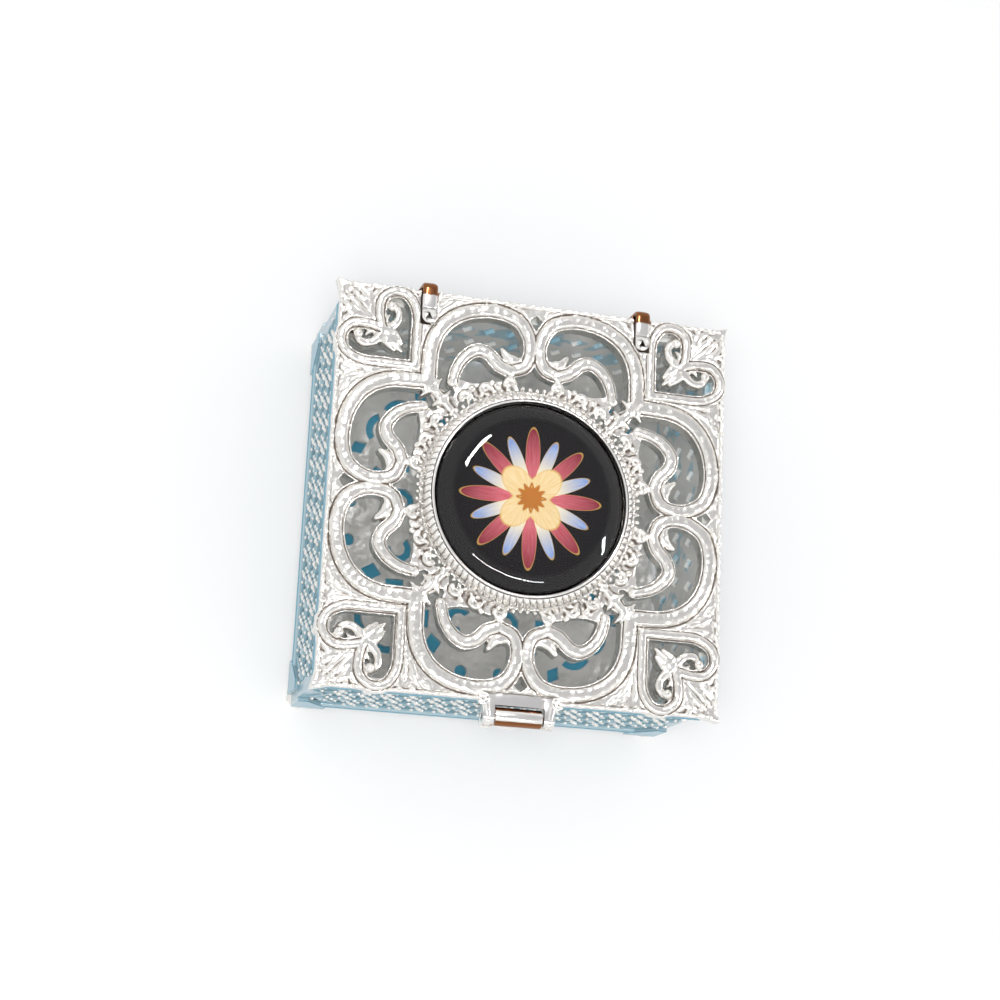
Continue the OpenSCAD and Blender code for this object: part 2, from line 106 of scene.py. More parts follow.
class Shells:
    """Closed shells collected in millimetres, to become one mesh."""

    def __init__(self):
        self.points = np.zeros((0, 3))
        self.faces = []

    def add(self, points, faces):
        self.faces += [[i + len(self.points) for i in face] for face in faces]
        self.points = np.vstack([self.points, points])

    def take(self, other, matrix):
        """Adds other shells placed by a 3x3 matrix, turned inside out where it mirrors them."""
        mirrored = np.linalg.det(matrix) < 0
        self.add(other.points @ matrix.T, [face[::-1] for face in other.faces] if mirrored else other.faces)

    def shift(self, x, y, z):
        self.points = self.points + (x, y, z)

    def mesh(self, name):
        made = bpy.data.meshes.new(name)
        made.from_pydata((self.points * MM).tolist(), [], self.faces)
        made.validate()
        made.update()
        return made


def turned(degrees):
    a = math.radians(degrees)
    return np.array([[math.cos(a), -math.sin(a), 0], [math.sin(a), math.cos(a), 0], [0, 0, 1]])


def eightfold(shells):
    """The same shells round a square, each time with their mirror image."""
    made = Shells()
    for quarter in range(4):
        for side in (1, -1):
            made.take(shells, turned(90 * quarter) @ np.diag([side, 1, 1]))
    return made


def smooth_line(points, steps):
    """A smooth line through given points, with that many steps between each pair."""
    p = np.array(points, float)
    p = np.vstack([2 * p[0] - p[1], p, 2 * p[-1] - p[-2]])
    made = []
    for a, b, c, d in zip(p, p[1:], p[2:], p[3:]):
        made += [0.5 * (2 * b + (c - a) * t + (2 * a - 5 * b + 4 * c - d) * t * t
                        + (3 * b - a - 3 * c + d) * t ** 3) for t in np.arange(steps) / steps]
    return np.array([*made, p[-2]])


def headings(path):
    """Unit direction of a line at each of its points."""
    ahead = np.gradient(path, axis=0)
    return ahead / np.linalg.norm(ahead, axis=1)[:, None]


def around(steps):
    return [2 * math.pi * i / steps for i in range(steps)]


def arc(centre, radius, start, end, steps):
    """Points along an arc, its angles in degrees."""
    return [(centre[0] + radius * math.cos(a), centre[1] + radius * math.sin(a))
            for a in np.radians(np.linspace(start, end, steps))]


def loft(shells, sections, closed=False):
    """A skin through cross-sections with equally many points, capped at its ends or closed on itself."""
    sections = np.asarray(sections, float)
    n, m = sections.shape[:2]
    faces = []
    for i in range(n if closed else n - 1):
        here, there = i * m, (i + 1) % n * m
        faces += [(here + j, here + (j + 1) % m, there + (j + 1) % m, there + j) for j in range(m)]
    if not closed:
        faces += [tuple(range(m))[::-1], tuple(range((n - 1) * m, n * m))]
    shells.add(sections.reshape(-1, 3), faces)


def band(shells, line, widths, profile, height=1.0, steps=6):
    """A cast band with round ends along a line. widths are those at the start, halfway and at the end."""
    path = smooth_line(line, steps)
    half = np.interp(np.linspace(0, 1, len(path)), [0, 0.5, 1], widths) / 2
    ahead = headings(path)
    side = np.stack([-ahead[:, 1], ahead[:, 0]], 1)
    bends = np.radians((80, 60, 35))
    stations = [(path[0] - ahead[0] * half[0] * math.sin(a), side[0], half[0] * math.cos(a)) for a in bends]
    stations += zip(path, side, half)
    stations += [(path[-1] + ahead[-1] * half[-1] * math.sin(a), side[-1], half[-1] * math.cos(a))
                 for a in bends[::-1]]
    sections = []
    for place, across, reach in stations:
        # A band is lower where it is narrower
        rise = height * (0.45 + 0.55 * min(1.0, 2 * reach / max(widths)) ** 0.5)
        sections.append([(*(place + across * u * reach), h * rise) for u, h in profile])
    loft(shells, sections)


def swept(profile, sides, centre, ripple):
    """A profile of (radius, height) at each step of a turn round a centre.

    ripple(radius, height, angle) gives a new radius and height where the form isn't round.
    """
    sections = []
    for turn in around(sides):
        rim = [ripple(r, z, turn) if ripple else (r, z) for r, z in profile]
        sections.append([(centre[0] + r * math.cos(turn), centre[1] + r * math.sin(turn), z) for r, z in rim])
    return np.array(sections)


def lathe(shells, profile, sides=96, centre=(0, 0), ripple=None):
    """A turned solid. profile runs from the bottom middle to the top middle."""
    rings = swept(profile[1:-1], sides, centre, ripple).transpose(1, 0, 2).reshape(-1, 3)
    top = len(rings) + 1
    faces = []
    for j in range(sides):
        k = (j + 1) % sides
        faces += [(0, 1 + k, 1 + j), (top - sides + j, top - sides + k, top)]
        faces += [(low + j, low + k, low + sides + k, low + sides + j)
                  for low in range(1, top - sides, sides)]
    shells.add(np.vstack([(*centre, profile[0][1]), rings, (*centre, profile[-1][1])]), faces)


def ball(shells, centre, radii, rings=6, sides=10):
    """A ball, or an egg where its three radii differ."""
    made = Shells()
    lathe(made, [(math.sin(a), -math.cos(a)) for a in np.linspace(0, math.pi, rings + 1)], sides)
    shells.add(made.points * radii + centre, made.faces)


def wire(shells, path, radius, sides=6):
    """A round wire with pointed ends along a run of points in space."""
    path = np.array(path, float)
    sections = []
    for i, (place, ahead) in enumerate(zip(path, headings(path))):
        across = np.cross(ahead, (0, 0, 1))
        across /= np.linalg.norm(across)
        over = np.cross(across, ahead)
        reach = radius * (0.3 if i in (0, len(path) - 1) else 1.0)
        sections.append([place + reach * (math.cos(a) * across + math.sin(a) * over) for a in around(sides)])
    loft(shells, sections)


def strip(shells, path, width, thick, x):
    """Flat wire with rounded edges, bent along a path of (y, z) points, its middle at x."""
    path = np.array(path, float)
    turns = np.array(around(16)) + math.pi / 16
    across = np.copysign(np.abs(np.cos(turns)) ** 0.6, np.cos(turns)) * width / 2
    out = np.copysign(np.abs(np.sin(turns)) ** 0.8, np.sin(turns)) * thick / 2
    loft(shells, [np.stack([x + across, y - out * ahead[1], z + out * ahead[0]], 1)
                  for (y, z), ahead in zip(path, headings(path))])


def plate(shells, outline, hole, low, high, to_space):
    """A plate between two levels with one hole, which has as many points as its outline."""
    n = len(outline)
    faces = []
    for i in range(n):
        k = (i + 1) % n
        faces += [(i, n + i, n + k, k), (2 * n + i, 2 * n + k, 3 * n + k, 3 * n + i),
                  (i, k, 2 * n + k, 2 * n + i), (n + i, 3 * n + i, 3 * n + k, n + k)]
    shells.add([to_space(*p, level) for level in (low, high) for p in (*outline, *hole)], faces)


def block(outline, low, high):
    """A block on any outline, in millimetres, as points and triangles."""
    work = bmesh.new()
    face = work.faces.new([work.verts.new((x, y, low)) for x, y in outline])
    face.normal_update()
    for v in bmesh.ops.extrude_face_region(work, geom=[face])["geom"]:
        if isinstance(v, bmesh.types.BMVert):
            v.co.z = high
    bmesh.ops.triangulate(work, faces=work.faces[:])
    bmesh.ops.recalc_face_normals(work, faces=work.faces[:])
    work.verts.index_update()
    made = np.array([v.co for v in work.verts]), [[v.index for v in f.verts] for f in work.faces]
    work.free()
    return made


# Mesh finishing

def modified(mesh, kind, **settings):
    """A mesh with one modifier applied to it."""
    obj = bpy.data.objects.new("working", mesh)
    bpy.context.scene.collection.objects.link(obj)
    modifier = obj.modifiers.new("step", kind)
    for name, value in settings.items():
        setattr(modifier, name, value)
    graph = bpy.context.evaluated_depsgraph_get()
    made = bpy.data.meshes.new_from_object(obj.evaluated_get(graph), preserve_all_data_layers=True,
                                           depsgraph=graph)
    made.name = mesh.name
    bpy.data.objects.remove(obj)
    bpy.data.meshes.remove(mesh)
    return made


def engrave(mesh, bands, depth, spread=0.13, share=0.74):
    """Sinks a groove along both sides of bands of one eighth, at a share of their half width."""
    points = np.array([v.co for v in mesh.vertices]) / MM
    flat = np.sort(np.abs(points[:, :2] - CENTRE), axis=1)
    up = np.array([v.normal.z for v in mesh.vertices])
    sink = np.zeros(len(points))
    for line, widths in bands:
        path = smooth_line(line, 12)
        half = np.interp(np.linspace(0, 1, len(path)), [0, 0.5, 1], widths) / 2
        # In parts, so that the table of distances stays small
        for start in range(0, len(flat), 20000):
            part = flat[start:start + 20000]
            gap = np.linalg.norm(part[:, None] - path[None], axis=2)
            near = gap.argmin(1)
            groove = np.exp(-((gap[np.arange(len(part)), near] - share * half[near]) / spread) ** 2)
            groove[(near == 0) | (near == len(path) - 1)] = 0
            sink[start:start + 20000] = np.maximum(sink[start:start + 20000], groove)
    # Only what faces up is cut
    sink *= depth * np.clip((up - 0.2) / 0.4, 0, 1)
    for v, fall in zip(mesh.vertices, sink):
        v.co.z -= fall * MM


def press(mesh, low, high, level):
    """Lowers whatever stands above a level in a rectangle, as a seat let into the casting."""
    for v in mesh.vertices:
        x, y, z = v.co / MM
        if low[0] < x < high[0] and low[1] < y < high[1] and z > level:
            v.co.z = level * MM


def mark_hollows(mesh, steps=6, depth=0.05):
    """Stores how far each point lies below the surface round it, from 0 on ridges to 1 in hollows."""
    n = len(mesh.vertices)
    co, normals, ends = np.empty(n * 3), np.empty(n * 3), np.empty(len(mesh.edges) * 2, int)
    mesh.vertices.foreach_get("co", co)
    mesh.vertices.foreach_get("normal", normals)
    mesh.edges.foreach_get("vertices", ends)
    co = co.reshape(-1, 3) / MM
    a, b = ends[0::2], ends[1::2]
    links = np.maximum(np.bincount(a, minlength=n) + np.bincount(b, minlength=n), 1)
    even = co.copy()
    for _ in range(steps):
        near = np.stack([np.bincount(a, even[b, k], n) + np.bincount(b, even[a, k], n) for k in range(3)], 1)
        even = 0.4 * even + 0.6 * near / links[:, None]
    below = ((even - co) * normals.reshape(-1, 3)).sum(1) / depth
    layer = mesh.attributes.new("hollow", "FLOAT", "POINT")
    layer.data.foreach_set("value", np.clip(0.5 + 0.5 * below, 0, 1).astype(np.float32))
    return mesh


def store_wear_and_painted_light(mesh, amount):
    """Stores where copper shows and how much, from a function of place (in millimetres) and normal: wear of
    the plate, and painted reflection and painted shade where it follows which way a face looks.
    """
    layer = mesh.attributes.new("wear_and_painted_light", "FLOAT", "POINT")
    normals = [v.normal.copy() for v in mesh.vertices]
    for i, v in enumerate(mesh.vertices):
        layer.data[i].value = amount(v.co / MM, normals[i])


def outwards(mesh, eased=0.0, segments=2):
    """Turns every face outwards and rounds the steep edges by so many millimetres, as filing leaves them."""
    work = bmesh.new()
    work.from_mesh(mesh)
    if eased:
        bmesh.ops.remove_doubles(work, verts=work.verts[:], dist=0.0001 * MM)
    bmesh.ops.recalc_face_normals(work, faces=work.faces[:])
    if eased:
        steep = [e for e in work.edges if e.is_manifold and e.calc_face_angle(0) > math.radians(40)]
        bmesh.ops.bevel(work, geom=steep, offset=eased * MM, segments=segments, profile=0.5, affect="EDGES",
                        clamp_overlap=True)
    work.to_mesh(mesh)
    work.free()
    return mesh


def piece(name, mesh, material, body, slot, *replaced):
    """Puts a finished mesh on its body with its material."""
    obj = bpy.data.objects.new(name, mesh)
    bpy.context.scene.collection.objects.link(obj)
    mesh.materials.clear()
    mesh.materials.append(bpy.data.materials[material])
    mesh.shade_smooth()
    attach(obj, body)
    if replaced:
        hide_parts(*replaced)


def repaint(material, *names):
    """Gives CAD nodes their material."""
    for name in names:
        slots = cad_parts[name].data.materials
        slots.clear()
        slots.append(bpy.data.materials[material])


# Materials

def linear(code):
    """An sRGB hex colour as linear red, green, blue and alpha."""
    values = [int(code[i:i + 2], 16) / 255 for i in (1, 3, 5)]
    return (*[v / 12.92 if v <= 0.04045 else ((v + 0.055) / 1.055) ** 2.4 for v in values], 1.0)


def add(tree, kind, inputs=None, **settings):
    """Adds a shader node with its settings and inputs: nodes or sockets to link, hex colours, or values."""
    made = tree.nodes.new("ShaderNode" + kind)
    for name, value in settings.items():
        setattr(made, name, value)
    for key, value in (inputs or {}).items():
        if isinstance(value, bpy.types.Node):
            value = next(socket for socket in value.outputs if socket.enabled)
        if isinstance(value, bpy.types.NodeSocket):
            tree.links.new(value, made.inputs[key])
        else:
            made.inputs[key].default_value = linear(value) if isinstance(value, str) else value
    return made


def new_material(name):
    """The empty node tree of a new material."""
    made = bpy.data.materials.new(name)
    made.use_nodes = True
    made.node_tree.nodes.clear()
    return made.node_tree


def cast_silver(look):
    """Silver plate on a cast zinc alloy, antiqued: bright crowns, brown-black left in the hollows."""
    tree = new_material("antiqued_silver_plate")
    place = add(tree, "TexCoord").outputs["Object"]
    hollow = add(tree, "Attribute", attribute_name="hollow").outputs["Fac"]
    # Cast skin: grains of about 0.35 mm
    grain = add(tree, "TexNoise", {"Vector": place, "Scale": 1 / (0.35 * MM), "Detail": 2.0})
    # Uneven wiping of the antiquing over about 4 mm
    wiping = add(tree, "TexNoise", {"Vector": place, "Scale": 1 / (4 * MM), "Detail": 2.0})
    grained = add(tree, "Math", {0: grain, 1: 0.16, 2: hollow}, operation="MULTIPLY_ADD")
    uneven = add(tree, "Math", {0: wiping, 1: 0.14, 2: grained}, operation="MULTIPLY_ADD")
    dark = add(tree, "MapRange", {"Value": uneven, "From Min": look.hollow_start,
                                  "From Max": look.hollow_full}, interpolation_type="SMOOTHSTEP")
    colour = add(tree, "Mix", {"Factor": dark, "A": look.silver, "B": look.tarnish}, data_type="RGBA")
    rough = add(tree, "MapRange", {"Value": dark, "To Min": look.roughness, "To Max": 0.5})
    # Punch dimples of about 0.9 mm all over, as hammered work has
    dimple = add(tree, "TexVoronoi", {"Vector": place, "Scale": 1 / (0.9 * MM)})
    dented = add(tree, "Bump", {"Height": dimple, "Strength": 0.7, "Distance": 0.12 * MM})
    bump = add(tree, "Bump", {"Height": grain, "Strength": look.grain, "Distance": 0.05 * MM,
                              "Normal": dented})
    shader = add(tree, "BsdfPrincipled", {"Base Color": colour, "Metallic": 1.0, "Roughness": rough,
                                          "Normal": bump})
    add(tree, "OutputMaterial", {"Surface": shader})


def bead_silver(look):
    """Silver plate on small cast beads, rubbed bright by the fingers: soft even sheen, faint grain."""
    tree = new_material("bead_silver_plate")
    place = add(tree, "TexCoord").outputs["Object"]
    grain = add(tree, "TexNoise", {"Vector": place, "Scale": 1 / (0.5 * MM), "Detail": 2.0})
    colour = add(tree, "Mix", {"Factor": grain, "A": look.bright, "B": look.silver}, data_type="RGBA")
    rough = add(tree, "MapRange", {"Value": grain, "To Min": 0.25, "To Max": 0.4})
    shader = add(tree, "BsdfPrincipled", {"Base Color": colour, "Metallic": 1.0, "Roughness": rough})
    add(tree, "OutputMaterial", {"Surface": shader})


def polished_silver(look):
    """Bright silver plate, buffed: mirror-like, with fine rub marks, copper where the plate wears through on
    the bends, and copper-brown painted reflection and painted shade on the clasp and the eyelet.
    """
    tree = new_material("polished_silver_plate")
    place = add(tree, "TexCoord").outputs["Object"]
    wear_and_painted_light = add(tree, "Attribute", attribute_name="wear_and_painted_light").outputs["Fac"]
    hollow = add(tree, "Attribute", attribute_name="hollow").outputs["Fac"]
    # Rub marks of about 1.2 mm, which also break up the edge of the copper
    rubbed = add(tree, "TexNoise", {"Vector": place, "Scale": 1 / (1.2 * MM), "Detail": 3.0})
    rough = add(tree, "MapRange", {"Value": rubbed, "To Min": 0.1, "To Max": 0.26})
    edge = add(tree, "Math", {0: rubbed, 1: 0.5, 2: wear_and_painted_light}, operation="MULTIPLY_ADD")
    # Copper: wear on the straps' bends, painted reflection on the barrel, painted shade on the ears and round
    # the eyelet's hole
    bare = add(tree, "MapRange", {"Value": edge, "From Min": 0.62, "From Max": 0.86})
    dark = add(tree, "MapRange", {"Value": hollow, "From Min": 0.55, "From Max": 0.85})
    silver = add(tree, "Mix", {"Factor": dark, "A": look.bright, "B": look.tarnish}, data_type="RGBA")
    colour = add(tree, "Mix", {"Factor": bare, "A": silver, "B": look.copper}, data_type="RGBA")
    shader = add(tree, "BsdfPrincipled", {"Base Color": colour, "Metallic": 1.0, "Roughness": rough})
    add(tree, "OutputMaterial", {"Surface": shader})


def wall_painted_reflection(look):
    """Pale blue painted over a struck silver wall, a painted reflection of a blue tabletop: glassy, letting
    silver through on the relief, bare inside.
    """
    tree = new_material("pale_blue_painted_reflection")
    place = add(tree, "TexCoord").outputs["Object"]
    centred = add(tree, "VectorMath", {0: place, 1: (0, -MIDDLE[1] * MM, 0)}, operation="ADD")
    apart = add(tree, "VectorMath", {0: centred}, operation="ABSOLUTE")
    xyz = add(tree, "SeparateXYZ", {0: apart}).outputs
    out = add(tree, "Math", {0: xyz[0], 1: xyz[1]}, operation="MAXIMUM")
    # Masks by how far out a point lies: the wall's outer side, its relief, and its corner plates
    outside, relief, foot = (
        add(tree, "MapRange", {"Value": out, "From Min": (HALF_BODY + near) * MM,
                               "From Max": (HALF_BODY + far) * MM})
        for near, far in (SKIN, RELIEF, PLATE_RELIEF))
    # The painted blue lets 0.3 of silver through on the relief, and is whole on the plates
    kept = add(tree, "MapRange", {"Value": foot, "To Min": 0.3, "To Max": 0.0})
    relief_silver = add(tree, "Math", {0: relief, 1: kept}, operation="MULTIPLY")
    # The painted blue is uneven over about 5 mm
    cloud = add(tree, "TexNoise", {"Vector": place, "Scale": 1 / (5 * MM), "Detail": 3.0})
    tone = add(tree, "Mix", {"Factor": cloud, "A": look.enamel, "B": look.enamel_deep}, data_type="RGBA")
    ground = add(tree, "Mix", {"Factor": relief_silver, "A": tone, "B": look.silver}, data_type="RGBA")
    # Deepest painted blue, on the plain plates at the corners
    thick = add(tree, "Mix", {"Factor": foot, "A": ground, "B": look.plate}, data_type="RGBA")
    # Pale patches of the lining's blue, about 4 mm wide, on the inner face
    patch_noise = add(tree, "TexNoise", {"Vector": place, "Scale": 1 / (4 * MM), "Detail": 2.0})
    patch = add(tree, "MapRange", {"Value": patch_noise, "From Min": 0.54, "From Max": 0.62, "To Max": 0.6})
    bare = add(tree, "Mix", {"Factor": patch, "A": look.inner, "B": look.lining}, data_type="RGBA")
    colour = add(tree, "Mix", {"Factor": outside, "A": bare, "B": thick}, data_type="RGBA")
    metal = add(tree, "Math", {0: outside, 1: relief_silver}, operation="MULTIPLY")
    # Stipple struck into the ground, grains of about 0.6 mm
    stipple = add(tree, "TexVoronoi", {"Vector": place, "Scale": 1 / (0.6 * MM)})
    bump = add(tree, "Bump", {"Height": stipple, "Strength": 0.35, "Distance": 0.06 * MM})
    shader = add(tree, "BsdfPrincipled", {
        "Base Color": colour, "Metallic": metal, "Roughness": 0.28, "Coat Weight": 0.5,
        "Coat Roughness": 0.08, "Normal": bump})
    add(tree, "OutputMaterial", {"Surface": shader})


def satin_silver(look):
    """Frosted silver plate on the cast floor: near-white and matt, on low swells that catch soft light."""
    tree = new_material("satin_silver_plate")
    place = add(tree, "TexCoord").outputs["Object"]
    # Flow marks of about 3 mm, the casting's low swells of about 1.6 mm and its skin of about 0.25 mm
    flow = add(tree, "TexNoise", {"Vector": place, "Scale": 1 / (3 * MM), "Detail": 4.0})
    swell = add(tree, "TexNoise", {"Vector": place, "Scale": 1 / (1.6 * MM), "Detail": 1.0})
    skin = add(tree, "TexNoise", {"Vector": place, "Scale": 1 / (0.25 * MM), "Detail": 1.0})
    colour = add(tree, "Mix", {"Factor": flow, "A": look.satin, "B": look.satin_deep}, data_type="RGBA")
    rough = add(tree, "MapRange", {"Value": flow, "To Min": 0.3, "To Max": 0.5})
    waved = add(tree, "Bump", {"Height": swell, "Strength": 1.0, "Distance": 0.5 * MM})
    bump = add(tree, "Bump", {"Height": skin, "Strength": 0.25, "Distance": 0.03 * MM, "Normal": waved})
    shader = add(tree, "BsdfPrincipled", {"Base Color": colour, "Metallic": 0.3, "Roughness": rough,
                                          "Normal": bump})
    add(tree, "OutputMaterial", {"Surface": shader})


def blue_lacquer(look):
    """Lacquered tin sheet: deep blue-green, satin, brushed on with faint streaks."""
    tree = new_material("blue_lacquered_sheet")
    place = add(tree, "TexCoord").outputs["Object"]
    # Brush streaks of about 6 mm by 0.75 mm
    stretched = add(tree, "Mapping", {"Vector": place, "Scale": (1.0, 8.0, 1.0)})
    streak = add(tree, "TexNoise", {"Vector": stretched, "Scale": 1 / (6 * MM), "Detail": 3.0})
    colour = add(tree, "Mix", {"Factor": streak, "A": look.lining, "B": look.lining_deep}, data_type="RGBA")
    shader = add(tree, "BsdfPrincipled", {"Base Color": colour, "Metallic": 0.0, "Roughness": 0.32,
                                          "IOR": 1.5})
    add(tree, "OutputMaterial", {"Surface": shader})


def clear_glass():
    """Moulded soda-lime glass, fire polished: colourless, sharp in its reflections, and casting no shadow."""
    tree = new_material("clear_domed_glass")
    glass = add(tree, "BsdfPrincipled", {
        "Base Color": "#FFFFFF", "Roughness": 0.0, "IOR": 1.5, "Transmission Weight": 1.0,
        "Specular IOR Level": 0.25})
    shadow = add(tree, "LightPath").outputs["Is Shadow Ray"]
    shader = add(tree, "MixShader", {0: shadow, 1: glass, 2: add(tree, "BsdfTransparent")})
    add(tree, "OutputMaterial", {"Surface": shader})


def dull_wire(look):
    """Drawn steel wire, oxidised: grey-brown with a low sheen, in spots of about 0.5 mm."""
    tree = new_material("oxidised_steel_wire")
    place = add(tree, "TexCoord").outputs["Object"]
    spots = add(tree, "TexNoise", {"Vector": place, "Scale": 1 / (0.5 * MM), "Detail": 2.0})
    colour = add(tree, "Mix", {"Factor": spots, "A": look.wire, "B": look.copper}, data_type="RGBA")
    shader = add(tree, "BsdfPrincipled", {"Base Color": colour, "Metallic": 1.0, "Roughness": 0.35})
    add(tree, "OutputMaterial", {"Surface": shader})


def printed_rosette(look):
    """Ink on paper, bonded under glass and so without a gloss of its own: petals on near-black violet."""
    tree = new_material("printed_rosette")
    place = add(tree, "TexCoord").outputs["Object"]
    centred = add(tree, "VectorMath", {0: place, 1: (0, -MIDDLE[1] * MM, 0)}, operation="ADD")
    scaled = add(tree, "VectorMath", {0: centred, "Scale": 1 / (PICTURE_R * MM)}, operation="SCALE")
    xyz = add(tree, "SeparateXYZ", {0: scaled}).outputs
    flat = add(tree, "CombineXYZ", {0: xyz[0], 1: xyz[1]})
    radius = add(tree, "VectorMath", {0: flat}, operation="LENGTH")
    angle = add(tree, "Math", {0: xyz[1], 1: xyz[0]}, operation="ARCTAN2")
    # Brush grain of about 0.8 mm, stretched outwards by using angle and radius
    polar = add(tree, "CombineXYZ", {0: angle, 1: radius})
    fanned = add(tree, "VectorMath", {0: polar, 1: (9, 2, 1)}, operation="MULTIPLY")
    brush = add(tree, "TexNoise", {"Vector": fanned, "Scale": 3.0, "Detail": 3.0})
    cloud = add(tree, "TexNoise", {"Vector": scaled, "Scale": 1.6, "Detail": 3.0})
    # Haze that fades outwards, deeper tips of the outer petals, and pale ends of the inner ones
    fade, tips, ends = (
        add(tree, "MapRange", {"Value": radius, "From Min": near, "From Max": far, "To Min": a, "To Max": b})
        for near, far, a, b in ((0.45, 1.0, 1.0, 0.0), (0.3, 0.78, 0.0, 1.0), (0.25, 0.6, 0.0, 1.0)))
    red, blue, gold = (
        add(tree, "Mix", {"Factor": brush, "A": a, "B": b}, data_type="RGBA")
        for a, b in ((look.crimson, look.rose), (look.azure, look.pale_blue), (look.gold, look.ivory)))
    red = add(tree, "Mix", {"Factor": tips, "A": red, "B": look.crimson_deep}, data_type="RGBA")
    blue = add(tree, "Mix", {"Factor": ends, "A": look.ivory, "B": blue}, data_type="RGBA")
    haze = add(tree, "Math", {0: cloud, 1: fade}, operation="MULTIPLY")
    layers, lines = [(haze, look.ground_haze)], []
    # Rings of petals: how many, turn, inner and outer reach as shares of the picture, fullness and colour
    for count, turn, inner, reach, fullness, ink in (
            (8, 0.0, 0.14, 0.74, 1.3, red), (8, math.pi, 0.12, 0.66, 1.5, blue),
            (4, math.pi, 0.2, 0.4, 0.7, gold), (12, 0.0, 0.12, 0.17, 1.0, look.amber)):
        swing = add(tree, "Math", {0: angle, 1: count, 2: turn}, operation="MULTIPLY_ADD")
        wave = add(tree, "Math", {0: swing}, operation="COSINE")
        lobe = add(tree, "Math", {0: wave, 1: 0.5, 2: 0.5}, operation="MULTIPLY_ADD")
        full = add(tree, "Math", {0: lobe, 1: fullness}, operation="POWER")
        edge = add(tree, "Math", {0: full, 1: reach - inner, 2: inner}, operation="MULTIPLY_ADD")
        inside = add(tree, "Math", {0: edge, 1: radius}, operation="SUBTRACT")
        layers.append((add(tree, "MapRange", {"Value": inside, "From Max": 0.02}), ink))
        # Fine gilt line along the petals' edge, 0.15 mm wide
        line = add(tree, "Math", {0: inside, 1: 0.008, 2: 0.011}, operation="COMPARE")
        lines.append((add(tree, "Math", {0: line, 1: 0.55}, operation="MULTIPLY"), look.gold))
    # The lines are printed over every petal. The boss, the last ring, has none.
    picture = look.ground
    for share, ink in layers + lines[:-1]:
        picture = add(tree, "Mix", {"Factor": share, "A": picture, "B": ink}, data_type="RGBA")
    shader = add(tree, "BsdfPrincipled", {
        "Base Color": picture, "Metallic": 0.0, "Roughness": 0.5, "Specular IOR Level": 0.0})
    add(tree, "OutputMaterial", {"Surface": shader})


def white_paper(look):
    """Seamless white paper: matt and even, white to the eye and to what mirrors it."""
    tree = new_material("white_paper_sweep")
    place = add(tree, "TexCoord").outputs["Object"]
    tooth = add(tree, "TexNoise", {"Vector": place, "Scale": 1 / (2 * MM), "Detail": 2.0})
    bump = add(tree, "Bump", {"Height": tooth, "Strength": 0.05, "Distance": 0.05 * MM})
    paper = add(tree, "BsdfDiffuse", {"Color": look.paper, "Normal": bump})
    glow = add(tree, "Emission", {"Color": "#FFFFFF", "Strength": look.paper_glow})
    seen = add(tree, "LightPath").outputs
    mirrored = add(tree, "Math", {0: seen["Is Glossy Ray"], 1: seen["Is Transmission Ray"]},
                   operation="MAXIMUM")
    looked_at = add(tree, "Math", {0: seen["Is Camera Ray"], 1: mirrored}, operation="MAXIMUM")
    dark = add(tree, "Emission", {"Strength": 0.0})
    lift = add(tree, "MixShader", {0: looked_at, 1: dark, 2: glow})
    add(tree, "OutputMaterial", {"Surface": add(tree, "AddShader", {0: paper, 1: lift})})


# Properties

def size(name, default, description):
    """A length in millimetres."""
    return FloatProperty(name=name, description=description + ", in millimetres", default=default, min=0.0)


def share(name, default, description):
    return FloatProperty(name=name, description=description, default=default, min=0.0, max=2.0,
                         subtype="FACTOR")


def degrees(name, default, description):
    return FloatProperty(name=name, description=description, default=math.radians(default), subtype="ANGLE")


def colour(name, default, description):
    return StringProperty(name=name, description=description + ", as an sRGB hex code", default=default)


class SilverLook(bpy.types.PropertyGroup):
    silver: colour("Silver", "#E9E6E1", "Plated silver on the crowns of the casting")
    bright: colour("Bright silver", "#EFEDEA", "Buffed silver of the ring, straps and clasp")
    tarnish: colour("Tarnish", "#6A6058", "What is left in the hollows")
    # Also the colour of the painted reflection on the clasp's barrel and of the painted shade on its ears and
    # round the eyelet's hole
    copper: colour("Copper", "#8A5A3A", "Base metal where the plate has worn through")
    wire: colour("Wire", "#6E6761", "Pins")
    satin: colour("Satin silver", "#FAF8F5", "Inside of the floor")
    satin_deep: colour("Satin silver, deep", "#E4E2DE", "Darker flow marks of the floor")
    roughness: share("Roughness", 0.24, "Roughness of the casting's crowns")
    grain: share("Grain", 0.45, "Strength of the cast grain")
    hollow_start: share("Hollow start", 0.74, "Depth value where darkening starts")
    hollow_full: share("Hollow full", 1.12, "Depth value where darkening is complete")


class WallLook(bpy.types.PropertyGroup):
    # Painted reflection: these blues stand for a blue tabletop mirrored in the silver walls
    enamel: colour("Enamel", "#8AA6AF", "Thin enamel")
    enamel_deep: colour("Deep enamel", "#7199A8", "Thicker enamel")
    plate: colour("Corner enamel", "#4B8FA6", "Thickest enamel, on the plain plates at the corners")
    silver: colour("Silver", "#DDE3E4", "Relief rubbed bare")
    inner: colour("Inner face", "#F2F1EE", "Bare inner face of a wall")
    lining: colour("Lining", "#62C0DE", "Sheet under the floor, and enamel that ran inside")
    lining_deep: colour("Lining, deep", "#4BAACE", "Darker streaks of the sheet")


class PictureLook(bpy.types.PropertyGroup):
    ground: colour("Ground", "#030203", "Dark ground")
    ground_haze: colour("Haze", "#150E14", "Lighter violet haze in the ground")
    crimson: colour("Crimson", "#B8283C", "Outer petals")
    crimson_deep: colour("Deep crimson", "#6E1428", "Tips of the outer petals")
    rose: colour("Rose", "#D98A94", "Brush strokes in the outer petals")
    azure: colour("Azure", "#3C63B4", "Inner petals")
    pale_blue: colour("Pale blue", "#A9C2E6", "Brush strokes in the inner petals")
    ivory: colour("Ivory", "#F2E6C4", "Light inner ends")
    gold: colour("Gold", "#D9B25C", "Gilt lines and middle")
    amber: colour("Amber", "#B5702C", "Boss of the rosette")


